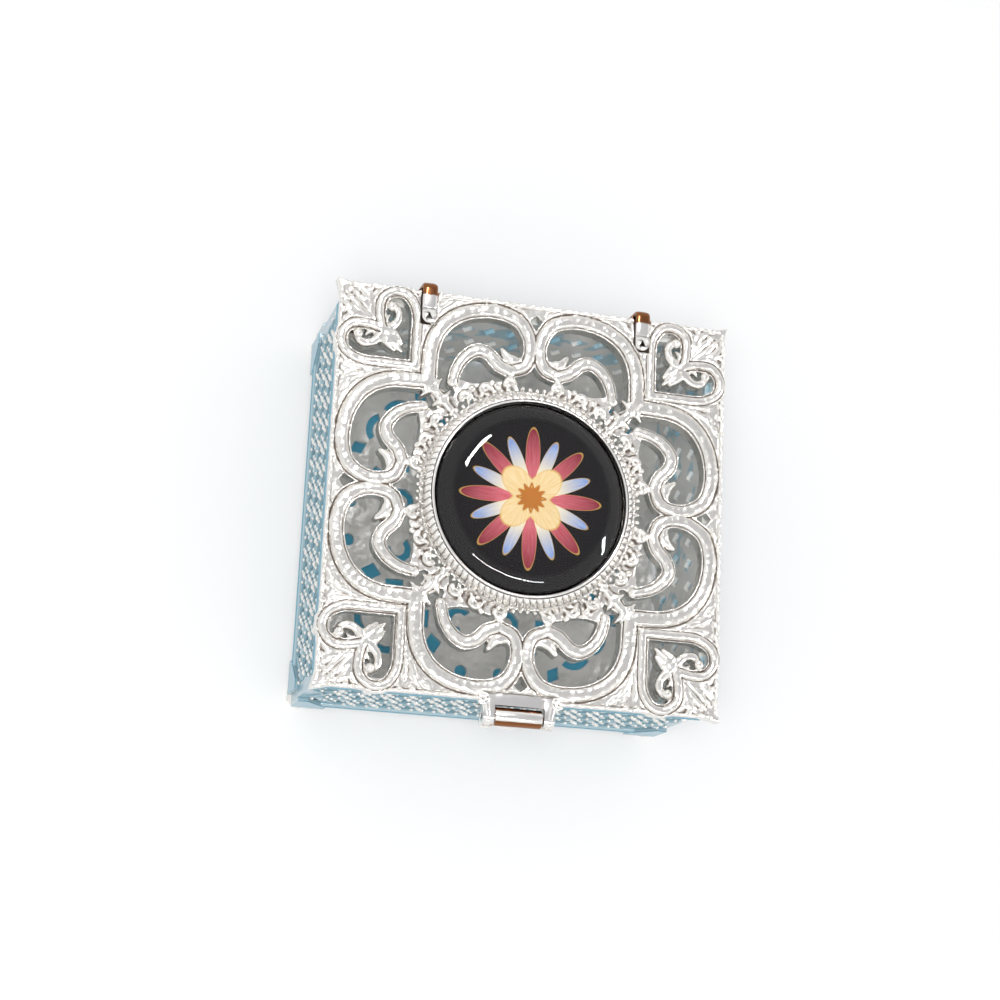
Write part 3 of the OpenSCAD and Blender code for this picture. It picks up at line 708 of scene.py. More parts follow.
class LidSizes(bpy.types.PropertyGroup):
    scroll_w: size("Scroll width", 2.4, "Width of a large scroll with its outer wire")
    heart_w: size("Heart width", 1.65, "Width of a heart's band")
    leaf_w: size("Leaf width", 1.3, "Width of leaves and stems")
    plate_h: size("Collar height", 1.5, "Height of the flat collar above the lid's underside")
    edge_h: size("Edge height", 1.8, "Height of the flat infill at the edge above the lid's underside")
    groove: size("Groove", 0.24, "Depth of the grooves along the scrolls and hearts")
    voxel: size("Skin step", 0.13, "Step of the fused skin")
    most_faces: IntProperty(name="Faces", description="Most triangles that the fused skin keeps",
                            default=195000)


class WallSizes(bpy.types.PropertyGroup):
    bead_r: size("Bead radius", 0.42, "Radius of a bead on a wall")
    wire_r: size("Wire radius", 0.2, "Radius of the scrolled wires on a wall")


class StageSettings(bpy.types.PropertyGroup):
    azimuth: degrees("Azimuth", -44.9, "Camera's angle round the box, from the front")
    elevation: degrees("Elevation", 69.8, "Camera's angle above the table")
    roll: degrees("Roll", 49.4, "Camera's turn about its own line of sight")
    distance: FloatProperty(name="Distance", description="From the camera to the point it looks at",
                            default=0.2714, unit="LENGTH")
    target: FloatVectorProperty(name="Target", description="Point that the camera looks at",
                                default=(-0.0027, 0.0016, 0.020), subtype="TRANSLATION")
    lens: FloatProperty(name="Lens", description="Focal length for a 36 mm sensor, in millimetres",
                        default=74.7)
    paper: colour("Paper", "#E0E0E0", "Floor")
    paper_glow: share("Paper glow", 0.1, "What makes up the floor's white")
    key: FloatProperty(name="Key", description="Power of the main lamp, in watts", default=2.6, min=0.0)
    window: FloatProperty(name="Windows", description="Power of a window, in watts", default=0.9, min=0.0)
    sky: share("Sky", 0.93, "Strength of the studio's own light")
    roof: colour("Roof opening", "#CFCFD2", "Dim opening in the tent's roof")
    opening: degrees("Opening", 38, "Half angle of the opening in the tent's roof")


class RosaryBoxSettings(bpy.types.PropertyGroup):
    silver: PointerProperty(type=SilverLook)
    wall: PointerProperty(type=WallLook)
    picture: PointerProperty(type=PictureLook)
    lid_sizes: PointerProperty(type=LidSizes)
    wall_sizes: PointerProperty(type=WallSizes)
    stage: PointerProperty(type=StageSettings)


# Cross-sections of the cast bands: place across the band from -1 to 1, and height in millimetres
ROUND_PROFILE = ((-1, 0), (-1, 1.45), (-0.95, 1.75), (-0.8, 1.98), (-0.45, 2.14), (0, 2.2), (0.45, 2.14),
                 (0.8, 1.98), (0.95, 1.75), (1, 1.45), (1, 0))
# A broad body with a wire along its outer edge and a fine lip along its inner edge
SCROLL_PROFILE = ((-1, 0), (-1, 1.5), (-0.96, 1.8), (-0.86, 1.95), (-0.76, 1.9), (-0.71, 1.55), (-0.64, 1.55),
                  (-0.59, 1.95), (-0.45, 2.14), (-0.1, 2.24), (0.25, 2.24), (0.6, 2.16), (0.86, 2.02),
                  (0.97, 1.8), (1, 1.45), (1, 0))
# A leaf with a vein down its middle
LEAF_PROFILE = ((-1, 0), (-1, 1.5), (-0.88, 1.85), (-0.52, 2.1), (-0.18, 2.0), (0, 1.7), (0.18, 2.0),
                (0.52, 2.1), (0.88, 1.85), (1, 1.5), (1, 0))

# The lid's ornament, one eighth of the square, drawn in millimetres from the lid's middle
SCROLL = ((14.3, 14.6), (14, 19.2), (12.4, 22.4), (9.4, 24.4), (5.6, 25), (2.5, 24.2), (0.95, 22.2),
          (0.6, 20), (1.3, 17.9), (3.2, 17))
BRANCH = ((3.2, 17), (4.8, 17.6), (6.2, 18.9), (7.7, 19.3), (9.2, 18.4), (10.3, 16.8), (10.9, 14.6))
SPROUT = ((1.2, 18.6), (2.5, 18.3), (3.6, 18.8), (4.4, 19.8))
HEART = ((16, 16), (16, 20), (16.1, 23.3), (17.3, 25.4), (19.2, 25.8), (20.8, 24.6), (21, 22.6), (20.6, 20.6))
CURL = ((20.6, 20.6), (19.5, 20.9), (18.6, 21.9), (18.5, 23.1), (19.3, 23.9))
TONGUE = ((20.6, 20.6), (19.4, 19.4), (17.9, 17.9))
STEM = ((9.9, 9.9), (12.2, 12.2), (14.6, 14.6))
SIDE_LEAF = ((15.1, 17.2), (14.9, 20.4), (14.2, 23), (12.8, 24.9), (10.6, 26))
# Leaves: their line, greatest width and height. The broad ones have a vein
LEAVES = (
    (((20.2, 20.2), (18.9, 20.0), (17.9, 18.9)), 1.3, 0.98),
    (((20.4, 20.9), (20.2, 21.9), (19.6, 22.7)), 0.9, 0.94),
    (((15.2, 19.4), (15.3, 22.6), (14.9, 25.9)), 1.1, 1.0),
    (((14.5, 21.4), (13.9, 24.0), (12.9, 25.9)), 1.1, 0.97),
    (((13.4, 24.0), (12.3, 25.2), (10.9, 26.0)), 0.9, 0.95),
    (((15.8, 23.8), (16.3, 25.1), (16.9, 26.1)), 0.95, 0.96),
    (((21.2, 21.2), (23.6, 23.6), (26.0, 26.0)), 2.4, 1.02),
    (((22.0, 22.8), (22.6, 24.9), (24.6, 26.0)), 1.5, 1.0),
    (((21.9, 23.6), (21.6, 25.0), (20.4, 26.1)), 1.2, 0.98),
    (((18.9, 26.0), (17.6, 26.2), (16.6, 25.4)), 0.9, 0.98),
    (((1.3, 24.5), (1.9, 25.2), (3.0, 25.9)), 1.0, 0.98),
    (((4.2, 26.0), (5.6, 25.8), (8.6, 26.1)), 0.8, 0.96),
    (((12.7, 12.9), (13.1, 13.9), (12.3, 14.9)), 1.0, 0.98),
    (((11.3, 11.4), (11.7, 12.4), (11.2, 13.3)), 1.1, 0.96),
)
BROAD_LEAF = 1.8
# Small round lobes and granules, place and radius, on the infill at the edge and on the collar
EDGE_LOBES = (
    (19.5, 23.7, 0.7), (14.0, 25.8, 0.4), (15.7, 25.9, 0.36), (18.3, 26.2, 0.36), (20.6, 26.0, 0.4),
    (22.5, 25.8, 0.4), (24.5, 26.1, 0.4), (24.3, 25.0, 0.45), (6.9, 26.0, 0.36), (3.4, 25.9, 0.36),
)
COLLAR_LOBES = ((10.9, 14.8, 0.7), (5.6, 15.2, 0.45), (8.3, 14.0, 0.5), (2.3, 14.6, 0.4), (12.5, 12.5, 0.6),
                (11.1, 11.1, 0.5))
# Flat infill at the edge, the collar round the medallion, and the tie between two scrolls
EDGE_PLATE = ((13.8, 16), (16.1, 16), (16.2, 23.2), (17.3, 25.6), (20.8, 25), (21, 22), (20.6, 20.6),
              (26.8, 26.8), (24.2, 26.2), (0, 26.2), (0, 25), (0.9, 24.3), (2.6, 25), (5.6, 25.4),
              (9.8, 24.8), (12.9, 22.4))
COLLAR_PLATE = ((2.2, 13), (3.2, 15.2), (4.4, 15.6), (6.6, 15.0), (8.3, 14.8), (10.3, 15.2), (11.1, 14.5),
                (10.5, 13.2), (10.7, 12.6), (13.0, 14.0), (14.6, 14.6), (10, 10), (9.9, 11.6), (9.7, 12.9),
                (8.9, 13.5), (8.1, 13.1), (7.5, 11.6))
TIE_PLATE = ((-0.8, 19), (0.8, 19), (0.8, 23), (-0.8, 23))
# Curls round the ring: their angle from the lid's axis, how far out, and which way they turn
CURLS = ((12, 15.5, 1), (24.5, 15.5, -1), (35.5, 15.6, 1))


# Pieces

def main_bands(sizes):
    """The three bands of one eighth that carry grooves: line, widths, profile and height."""
    w, heart_w = sizes.scroll_w, sizes.heart_w
    return ((SCROLL, (1.15 * w, 1.02 * w, 0.82 * w), SCROLL_PROFILE, 1.0),
            (BRANCH, (0.85 * w, 0.85 * w, 0.65 * w), ROUND_PROFILE, 0.99),
            (HEART, (heart_w, heart_w, heart_w), SCROLL_PROFILE, 0.99))


def lid_eighth(sizes):
    """Every band, leaf, plate and granule of one eighth of the lid."""
    made = Shells()
    w, heart_w, leaf_w = sizes.scroll_w, sizes.heart_w, sizes.leaf_w
    for line, widths, profile, height in (
            *main_bands(sizes),
            (SPROUT, (0.6 * w, 0.75 * w, 0.35 * w), ROUND_PROFILE, 0.97),
            (CURL, (heart_w, 0.72 * heart_w, 0.66 * heart_w), ROUND_PROFILE, 0.96),
            (TONGUE, (0.8 * heart_w, heart_w, 0.35 * heart_w), ROUND_PROFILE, 0.99),
            (STEM, (0.6 * leaf_w, leaf_w, 0.9 * leaf_w), ROUND_PROFILE, 0.92),
            (SIDE_LEAF, (0.35 * leaf_w, 0.7 * leaf_w, 0.35 * leaf_w), ROUND_PROFILE, 0.96)):
        band(made, line, widths, profile, height)
    for line, width, height in LEAVES:
        profile = LEAF_PROFILE if width > BROAD_LEAF else ROUND_PROFILE
        band(made, line, (0.55 * width, width, 0.4 * width), profile, height, steps=3)
    for lobes, level in ((EDGE_LOBES, sizes.edge_h), (COLLAR_LOBES, sizes.plate_h)):
        for x, y, r in lobes:
            ball(made, (x, y, level), (r, r, 0.2 + 0.5 * r))
    # Each plate starts a little higher than the last, so that no two faces lie in one plane
    for outline, low, high in ((EDGE_PLATE, 0.02, sizes.edge_h), (COLLAR_PLATE, 0.03, sizes.plate_h),
                               (TIE_PLATE, 0.04, sizes.plate_h + 0.3)):
        made.add(*block(outline, low, high))
    # Granules round the ring, twelve to an eighth, staggered
    for i in range(12):
        a = math.radians(90 - 45 / 12 * (i + 0.5))
        reach = 14.75 + 0.12 * (i % 2)
        ball(made, (reach * math.cos(a), reach * math.sin(a), sizes.plate_h + 0.12), (0.34, 0.34, 0.36), 4, 8)
    # Curls round the ring, each with a granule in its eye
    for turn, reach, way in CURLS:
        a = math.radians(90 - turn)
        eye = (reach * math.cos(a), reach * math.sin(a))
        curl = arc(eye, 0.68, 90 - turn + way * 150, 90 - turn - way * 130, 12)
        wire(made, [(x, y, sizes.plate_h + 0.3) for x, y in curl], 0.38, sides=8)
        ball(made, (*eye, sizes.plate_h + 0.15), (0.3, 0.3, 0.35), 4, 8)
    # Rim wire and granules along the edge
    wire(made, [(x, 26.15, sizes.edge_h + 0.08) for x in np.linspace(-0.2, 25.6, 14)], 0.22)
    for i in range(20):
        ball(made, (0.6 + 1.25 * i, 26.25, sizes.edge_h + 0.12), (0.3, 0.26, 0.3), 4, 8)
    return made


class ROSARY_OT_lid(bpy.types.Operator):
    """Makes the openwork lid casting"""
    bl_idname = "rosary.lid"
    bl_label = "Lid casting"

    def execute(self, context):
        sizes = context.scene.rosary_box.lid_sizes
        whole = eightfold(lid_eighth(sizes))
        seat = WEB_TOP - LID_LOW[2]
        lathe(whole, [(0, 0), (SEAT_R, 0), (SEAT_R, seat), (0, seat)])
        whole.shift(*CENTRE, LID_LOW[2])
        # One skin over all the shells, as a casting has
        mesh = modified(whole.mesh("lid_openwork"), "REMESH", mode="VOXEL", voxel_size=sizes.voxel * MM)
        mesh = modified(mesh, "SMOOTH", factor=0.5, iterations=1)
        engrave(mesh, [(line, widths) for line, widths, _, _ in main_bands(sizes)], sizes.groove)
        # Seats for the two straps and for the clasp, with a little room round them
        for name, level, room, behind in (("hinge_strap_left", WEB_TOP + 0.2, 0.12, 0.0),
                                          ("hinge_strap_right", WEB_TOP + 0.2, 0.12, 0.0),
                                          ("clasp_bracket", LID_LOW[2] + 0.15, 0.1, 0.05)):
            low, high = frame_box(name)
            press(mesh, (low[0] - room, low[1] - 0.1), (high[0] + room, high[1] + behind), level)
        mark_hollows(mesh)
        # The skin's faces have four sides, so it has twice as many triangles
        mesh = modified(mesh, "DECIMATE", ratio=min(1.0, sizes.most_faces / (2 * len(mesh.polygons))))
        piece("lid_openwork", mesh, "antiqued_silver_plate", "lid", "silver", "lid_casting")
        return {"FINISHED"}


class ROSARY_OT_medallion(bpy.types.Operator):
    """Makes the milled ring, the printed picture and the glass dome"""
    bl_idname = "rosary.medallion"
    bl_label = "Medallion"

    def execute(self, context):
        low, high = BEZEL_LOW[2], BEZEL_HIGH[2]
        teeth, per_tooth, tooth_depth = 96, 8, 0.34
        inner = PICTURE_R + 0.02
        # A milled shoulder outside, then a narrow channel and a plain lip over the glass
        profile = [(inner, low), (BEZEL_R, low), (BEZEL_R, low + 0.35), (BEZEL_R - 0.12, low + 0.8)]
        profile += [(BEZEL_R - r, high - z) for r, z in (
            (0.35, 0.45), (0.62, 0.16), (0.86, 0.12), (0.98, 0.3), (1.06, 0.3), (1.14, 0.06), (1.28, 0),
            (1.4, 0.08))]
        profile.append((inner, high - 0.3))

        def milled(r, z, turn):
            outer = min(1.0, max(0.0, (r - (BEZEL_R - 0.95)) / 0.2))
            lift = min(1.0, max(0.0, (z - low) / 0.3))
            wave = abs(math.sin(0.5 * teeth * turn + 1.1 * (z - low)))
            cut = tooth_depth * (1 - wave ** 0.6) * outer * lift
            return r - cut, z - cut

        shells = Shells()
        loft(shells, swept(profile, teeth * per_tooth, CENTRE, milled), closed=True)
        # The profile runs the other way round than a band's, so its faces are turned over
        shells.faces = [(a, d, c, b) for a, b, c, d in shells.faces]
        piece("milled_ring", mark_hollows(shells.mesh("milled_ring"), steps=5, depth=0.035),
              "polished_silver_plate", "lid", "bright_silver", "bezel_ring")

        shells = Shells()
        base, top, radius = PICTURE_LOW[2], PICTURE_HIGH[2], PICTURE_R - 0.05
        lathe(shells, [(0, base), (radius, base), (radius, top - 0.04), (radius - 0.07, top),
                       (0.6 * PICTURE_R, top), (0, top)], 96, CENTRE)
        piece("rosette_picture", shells.mesh("rosette_picture"), "printed_rosette", "lid", "picture",
              "picture_disc")

        # The glass is bonded to the print, so its underside lies just inside the disc.
        # Its top is a shallow cap that turns down over a soft shoulder to a straight edge.
        shells = Shells()
        base, radius, steps = top - 0.03, PICTURE_R - 0.06, 40
        shares = (np.arange(steps) + 0.5) / steps
        slopes = np.tan(np.radians(10 * shares + 30 * np.maximum(0.0, (shares - 0.7) / 0.3) ** 1.6))
        drops = np.cumsum(slopes) * radius / steps
        line = [(0, base), (radius - 0.15, base), (radius, base + 0.1)]
        line += [(radius * i / steps, DOME_TOP - drops[i - 1]) for i in range(steps, 0, -1)]
        lathe(shells, [*line, (0, DOME_TOP)], 128, CENTRE)
        piece("glass_dome", shells.mesh("glass_dome"), "clear_domed_glass", "lid", "glass", "clear_dome")
        return {"FINISHED"}


def trellis(length):
    """Middles of the piercings of a wall: rows as their height and their places along the wall."""
    cell = (2 * HALF_BODY - 2) / CELLS
    count = int(length / cell)
    rows = []
    for row in range(ROWS):
        shift = 0.5 * (row % 2)
        rows.append((WALL_LOW[2] + BAND_H + (row + 0.5) * ROW_H,
                     [(i + 0.5 + shift - count / 2) * cell for i in range(count - row % 2)]))
    return cell, rows


def clear_of_plate(u, z, length):
    """True where no plain corner plate covers the wall."""
    from_end = length / 2 - abs(u)
    return from_end > 0.7 and (z > WALL_LOW[2] + PLATE_H or from_end > CORNER_PLATE + 0.4)


def wall_beads(sizes, length):
    """Beads of one wall, with its outer face at y = 0 and looking towards -y."""
    made = Shells()
    cell, rows = trellis(length)
    big = sizes.bead_r
    beads = [(0.5, 0, big), (0, 0.5, big), (0.5, 0.5, 0.85 * big)]
    beads += [(x, y, 0.62 * big) for x, y in ((0.27, 0.26), (-0.27, 0.26), (0.27, -0.26), (-0.27, -0.26))]
    for z, middles in rows:
        for u in middles:
            for across, up, r in beads:
                x, y = u + across * cell, z + up * ROW_H
                if clear_of_plate(x, y, length):
                    ball(made, (x, -0.12, y), (r, 0.36 if r == big else 0.26, r))
    return made


def wall_wires(sizes, length):
    """Waved wires round the piercings of one wall, arches over its foot and a rope along its top."""
    made = Shells()
    cell, rows = trellis(length)
    for z, middles in rows:
        for way in (-1, 1):
            run = [(u, -0.04, z + way * 0.47 * ROW_H * math.cos(math.pi * (u - middles[0]) / cell))
                   for u in np.arange(-length / 2 + 0.8, length / 2 - 0.7, cell / 8)]
            wire(made, [p for p in run if clear_of_plate(p[0], p[2], length)], sizes.wire_r)
    # Arches over the scalloped openings between the corner plates
    scallop, arch_r = 2 * cell, 2.5
    count = int((length - 10.2) / scallop)
    for i in range(count):
        u = (i + 0.5 - count / 2) * scallop
        wire(made, [(x, -0.06, z) for x, z in arc((u, WALL_LOW[2] - 0.35), arch_r, 14, 166, 16)], 0.24)
    # Rope, laid as short slanting wires
    pitch = 0.8
    twists = int(length / pitch)
    z = WALL_LOW[2] + 0.965 * WALL_H
    for i in range(twists):
        u = (i + 0.5 - twists / 2) * pitch
        wire(made, [(u - 0.5 * pitch, -0.06, z - 0.3), (u, -0.2, z), (u + 0.5 * pitch, -0.06, z + 0.3)], 0.2)
    return made


class ROSARY_OT_walls(bpy.types.Operator):
    """Makes the raised ornament of the four walls and paints the walls themselves"""
    bl_idname = "rosary.walls"
    bl_label = "Walls"

    def execute(self, context):
        sizes = context.scene.rosary_box.wall_sizes
        long, short = 2 * HALF_BODY, 2 * HALF_BODY - 2
        for name, turn, length in (("front", 0, long), ("right", 90, short), ("back", 180, long),
                                   ("left", -90, short)):
            for kind, make, material, slot in (
                    ("beads", wall_beads, "bead_silver_plate", "silver"),
                    ("wires", wall_wires, "pale_blue_painted_reflection", "enamelled_silver")):
                flat, made = make(sizes, length), Shells()
                flat.shift(0, -HALF_BODY, 0)
                made.take(flat, turned(turn))
                made.shift(*CENTRE, 0)
                title = name + "_wall_" + kind
                piece(title, made.mesh(title), material, "box", slot)
        repaint("pale_blue_painted_reflection", "front_wall", "back_wall", "left_wall", "right_wall")
        return {"FINISHED"}


class ROSARY_OT_floor(bpy.types.Operator):
    """Paints the pierced floor and its lining, and makes the bun feet"""
    bl_idname = "rosary.floor"
    bl_label = "Floor and feet"

    def execute(self, context):
        repaint("satin_silver_plate", "floor_plate")
        repaint("blue_lacquered_sheet", "floor_lining")
        lobes = 10
        # A bun foot as shares of its radius and height
        bun = ((0, 0), (0.5, 0), (0.74, 0.03), (0.92, 0.16), (1, 0.36), (0.96, 0.56), (0.84, 0.72),
               (0.68, 0.84), (0.66, 0.9), (0.74, 1), (0, 1))

        def gadroon(r, z, turn):
            return r * (1 - 0.1 * (1 - abs(math.sin(0.5 * lobes * turn)) ** 0.8)), z

        for corner in ("front_left", "front_right", "back_left", "back_right"):
            low, high = frame_box("foot_" + corner)
            r, h = (high[0] - low[0]) / 2, high[2] - low[2]
            middle = ((low[0] + high[0]) / 2, (low[1] + high[1]) / 2)
            shells = Shells()
            lathe(shells, [(a * r, b * h) for a, b in bun], 80, middle, gadroon)
            title = "foot_" + corner + "_bun"
            piece(title, mark_hollows(shells.mesh(title), steps=4), "antiqued_silver_plate", "box", "silver",
                  "foot_" + corner)
        return {"FINISHED"}


def axis_of(name):
    """Where a pin that lies along x stands, as y and z."""
    low, high = frame_box(name)
    return ((low[1] + high[1]) / 2, (low[2] + high[2]) / 2)


def hinge_strap(side):
    """A bent strap let into the lid, rolled round its pin, with an eyelet over its leg."""
    low, high = frame_box("hinge_strap_" + side)
    axis = axis_of("hinge_pin_" + side)
    x = (low[0] + high[0]) / 2
    thick, knee_r, bend_r = 0.62, 0.4, 0.7
    top = WEB_TOP + thick
    back = high[1] - thick / 2 - 0.04
    leg_y = low[1] + 1.9
    # From the leg in the lid, up over the edge, down, and rolled round the pin
    path = [(leg_y, WEB_TOP - 0.9), (leg_y, WEB_TOP - 0.2)]
    path += arc((leg_y + knee_r, top - knee_r), knee_r, 180, 90, 6)
    path += [(y, top) for y in np.linspace(leg_y + knee_r, back - bend_r, 5)[1:-1]]
    path += arc((back - bend_r, top - bend_r), bend_r, 90, 0, 10)
    path += [(back, z) for z in np.linspace(top - 0.9, axis[1] + 0.4, 5)]
    path += arc(axis, axis[1] - low[2] - thick / 2 - 0.03, 0, -300, 26)
    shells = Shells()
    strip(shells, path, high[0] - low[0] - 2 * SLACK, thick, x)
    # Eyelet with a three-sided hole, rounded at its front end
    end, eye_r, eye_back = low[1] + 0.95, 0.94, 1.1
    outline = arc((0, 0), eye_r, 0, -180, 13)
    outline += [(-eye_r, 0.4), (-eye_r, eye_back), (-0.3, eye_back), (0.3, eye_back), (eye_r, eye_back),
                (eye_r, 0.4)]
    corners = np.array([(0.5, -0.42), (-0.5, -0.42), (0, 0.5)])
    hole = []
    for i in range(len(outline)):
        t = (i / len(outline) * 3 + 0.15) % 3
        a, b = corners[int(t)], corners[(int(t) + 1) % 3]
        hole.append(a + (b - a) * (t - int(t)))
    plate(shells, outline, hole, WEB_TOP + 0.36, WEB_TOP + 0.86, lambda u, v, z: (x + u, end + v, z))

    # Copper on the bend is wear of the plate; copper on the faces round the eyelet's hole is painted shade
    def wear_and_painted_light(place, normal):
        bend = min(1.0, max(0.0, (place.y - (high[1] - 2.3)) / 0.5))
        in_hole = place.y < end + 0.7 and abs(normal.z) < 0.5 and abs(place.x - x) < 0.7
        return max(0.8 * bend, 0.55 if in_hole else 0.0)

    mesh = outwards(shells.mesh("bent_strap_" + side))
    store_wear_and_painted_light(mesh, wear_and_painted_light)
    return mesh


def hinge_lugs(side):
    """A pair of lugs with a round end and a hole for the pin."""
    low, high = frame_box("hinge_lugs_" + side)
    axis_z = axis_of("hinge_pin_" + side)[1]
    r = (high[2] - low[2]) / 2 - SLACK
    middle = (high[1] - r - SLACK, axis_z)
    lug_w, hole_r = 0.76, 0.42
    outline = arc(middle, r, -90, 90, 16) + [(low[1] + SLACK, axis_z + r), (low[1] + SLACK, axis_z - r)]
    hole = arc(middle, hole_r, -90, 270 - 360 / len(outline), len(outline))
    shells = Shells()
    for start in (low[0] + SLACK, high[0] - SLACK - lug_w):
        plate(shells, outline, hole, start, start + lug_w, lambda y, z, x: (x, y, z))
    return outwards(shells.mesh("soldered_lugs_" + side), eased=0.08)


class ROSARY_OT_hinges(bpy.types.Operator):
    """Makes the bent hinge straps and their lugs, and paints the pins"""
    bl_idname = "rosary.hinges"
    bl_label = "Hinges"

    def execute(self, context):
        for side in ("left", "right"):
            piece("bent_strap_" + side, hinge_strap(side), "polished_silver_plate", "lid", "bright_silver",
                  "hinge_strap_" + side)
            piece("soldered_lugs_" + side, hinge_lugs(side), "polished_silver_plate", "box", "bright_silver",
                  "hinge_lugs_" + side)
        repaint("oxidised_steel_wire", "hinge_pin_left", "hinge_pin_right", "clasp_pin")
        return {"FINISHED"}


def clasp_arms(barrel_half, barrel_r):
    """Two eared scrolls with a plain sheet between them, and a curved arm with a coil on each side."""
    low, high = frame_box("clasp_bracket")
    axis = axis_of("clasp_pin")
    ear_r = high[2] - axis[1] - SLACK
    ear_in = barrel_half + 0.16
    right, back = high[0], high[1]
    shells = Shells()
    outline = arc(axis, ear_r, 90, 300, 20)
    outline += [(back - 0.1, axis[1] - 0.3), (back - 0.04, axis[1] + 0.3),
                (back - 0.04, axis[1] + ear_r - 0.25), (back - 0.4, axis[1] + ear_r)]
    hole = arc(axis, 0.43, 90, 450 - 360 / len(outline), len(outline))
    half, front, rear = ear_in + 0.5, axis[0] + barrel_r + 0.17, back - 0.04
    # Arm from a boss at the lid, over the ear and down to a boss beside the barrel, as x, y and z
    lid_end = (right + 0.9, back + 0.3, axis[1] + 1.0)
    barrel_end = (right - 0.65, axis[0] - 0.55, axis[1] + 0.45)
    arm = (lid_end, (right + 0.1, back - 0.5, axis[1] + ear_r - 0.3),
           (right - 0.35, back - 1.5, axis[1] + ear_r - 0.35), (right - 0.6, axis[0], axis[1] + ear_r - 0.45),
           (right - 0.75, axis[0] - 0.6, axis[1] + 0.5))
    # Coil of two turns, opening outwards
    coil = [(right + 0.2 + (0.18 + 0.62 * i / 27) * math.cos(2 * math.pi * i / 14),
             back - 0.85 + (0.18 + 0.62 * i / 27) * math.sin(2 * math.pi * i / 14), axis[1] + ear_r + 0.12)
            for i in range(28)]
    shells.add(*block(((-half, front), (half, front), (half, rear), (-half, rear)), LID_LOW[2] + 0.2,
                      LID_LOW[2] + 1.28))
    for side in (-1, 1):
        mirror = np.array((side, 1, 1))
        near, far = sorted((side * ear_in, side * (right - SLACK)))
        plate(shells, outline, hole, near, far, lambda y, z, x: (x, y, z))
        wire(shells, np.array(arm) * mirror, 0.55, sides=12)
        wire(shells, np.array(coil) * mirror, 0.2, sides=8)
        ball(shells, barrel_end * mirror, (0.68, 0.72, 0.7), 10, 20)
        ball(shells, lid_end * mirror, (0.75, 0.6, 0.6), 10, 20)
    mesh = outwards(shells.mesh("clasp_arms"), eased=0.2, segments=3)
    # Copper-brown on the front faces of the ears is painted shade
    store_wear_and_painted_light(mesh, lambda place, normal: 0.45 if normal.y < -0.8 and abs(place.x) > ear_in else 0.0)
    return mark_hollows(mesh, steps=3)


def clasp_hasp(barrel_half, barrel_r, foot_z, stud_z):
    """A strip rolled into a barrel, with a notch over the stud and a rolled lip on each foot."""
    axis = axis_of("clasp_pin")
    shells = Shells()
    plate(shells, arc(axis, barrel_r - SLACK, 90, 449, 40), arc(axis, 0.46, 90, 449, 40),
          -barrel_half + SLACK, barrel_half - SLACK, lambda y, z, x: (x, y, z))
    # The strip's right half, from the barrel to the notch's crown: it narrows in an S and ends in a foot
    wide, narrow, notch = barrel_half - 0.03, barrel_half - 0.72, 1.0
    shoulder = axis[1] - 2.1
    half = [(wide, axis[1]), (wide, shoulder)]
    half += [(wide - (wide - narrow) * (1 - math.cos(math.pi * t)) / 2, shoulder - 1.8 * t)
             for t in np.linspace(0.15, 1, 6)]
    half += [(narrow, foot_z), (notch, foot_z), *arc((0, stud_z), notch, 0, 90, 7)]
    face = [(-x, z) for x, z in half] + half[-2::-1]
    points, faces = block(face, 0, 0.66)
    y_back = axis[0] + barrel_r - SLACK
    shells.add(np.stack([points[:, 0], y_back - points[:, 2], points[:, 1]], 1), faces)
    lip, lip_r, lip_w = Shells(), 0.66, narrow - notch
    lathe(lip, [(0, 0), (0.5, 0), (lip_r, 0.16), (lip_r, lip_w - 0.16), (0.5, lip_w), (0, lip_w)], 24)
    for start in (-narrow, notch):
        shells.add(np.stack([start + lip.points[:, 2], y_back - 0.68 + lip.points[:, 0],
                             foot_z + lip.points[:, 1]], 1), lip.faces)
    mesh = outwards(shells.mesh("rolled_hasp"), eased=0.1)
    # Painted reflection: copper-brown stripes along the front and the back of the barrel, set by which way
    # its faces look
    store_wear_and_painted_light(mesh, lambda place, normal: 0.8 * min(1.0, max(0.0, (abs(normal.y) - 0.45) / 0.12))
               if place.z > axis[1] - 0.8 * barrel_r else 0.0)
    return mesh


class ROSARY_OT_clasp(bpy.types.Operator):
    """Makes the clasp's arms, its rolled hasp and the stud"""
    bl_idname = "rosary.clasp"
    bl_label = "Clasp"

    def execute(self, context):
        low, high = frame_box("clasp_hasp")
        barrel_half, barrel_r = (high[0] - low[0]) / 2, high[2] - axis_of("clasp_pin")[1]
        piece("clasp_arms", clasp_arms(barrel_half, barrel_r), "polished_silver_plate", "lid",
              "bright_silver", "clasp_bracket")
        stud_low, stud_high = frame_box("clasp_stud")
        stud_z = (stud_low[2] + stud_high[2]) / 2
        piece("rolled_hasp", clasp_hasp(barrel_half, barrel_r, low[2] + 0.7, stud_z), "polished_silver_plate",
              "hasp", "bright_silver", "clasp_hasp")

        # Stud: a turned button on a neck and a round base, turned to face the front
        reach, cap_r, neck_r = stud_high[1] - stud_low[1], (stud_high[0] - stud_low[0]) / 2 - SLACK, 0.78
        shells = Shells()
        lathe(shells, [(0, 0), (cap_r, 0), (cap_r, 0.25), (cap_r - 0.25, 0.46), (0.86, 0.5),
                       (neck_r, 0.62), (neck_r, reach - 0.85), (0.7, reach - 0.4), (0.45, reach - 0.14),
                       (0, reach - SLACK)], 32)
        x, y, z = shells.points.T
        shells.points = np.stack([x, stud_high[1] - z, stud_z + y], 1)
        piece("turned_stud", outwards(shells.mesh("turned_stud")), "polished_silver_plate", "box",
              "bright_silver", "clasp_stud")
        return {"FINISHED"}


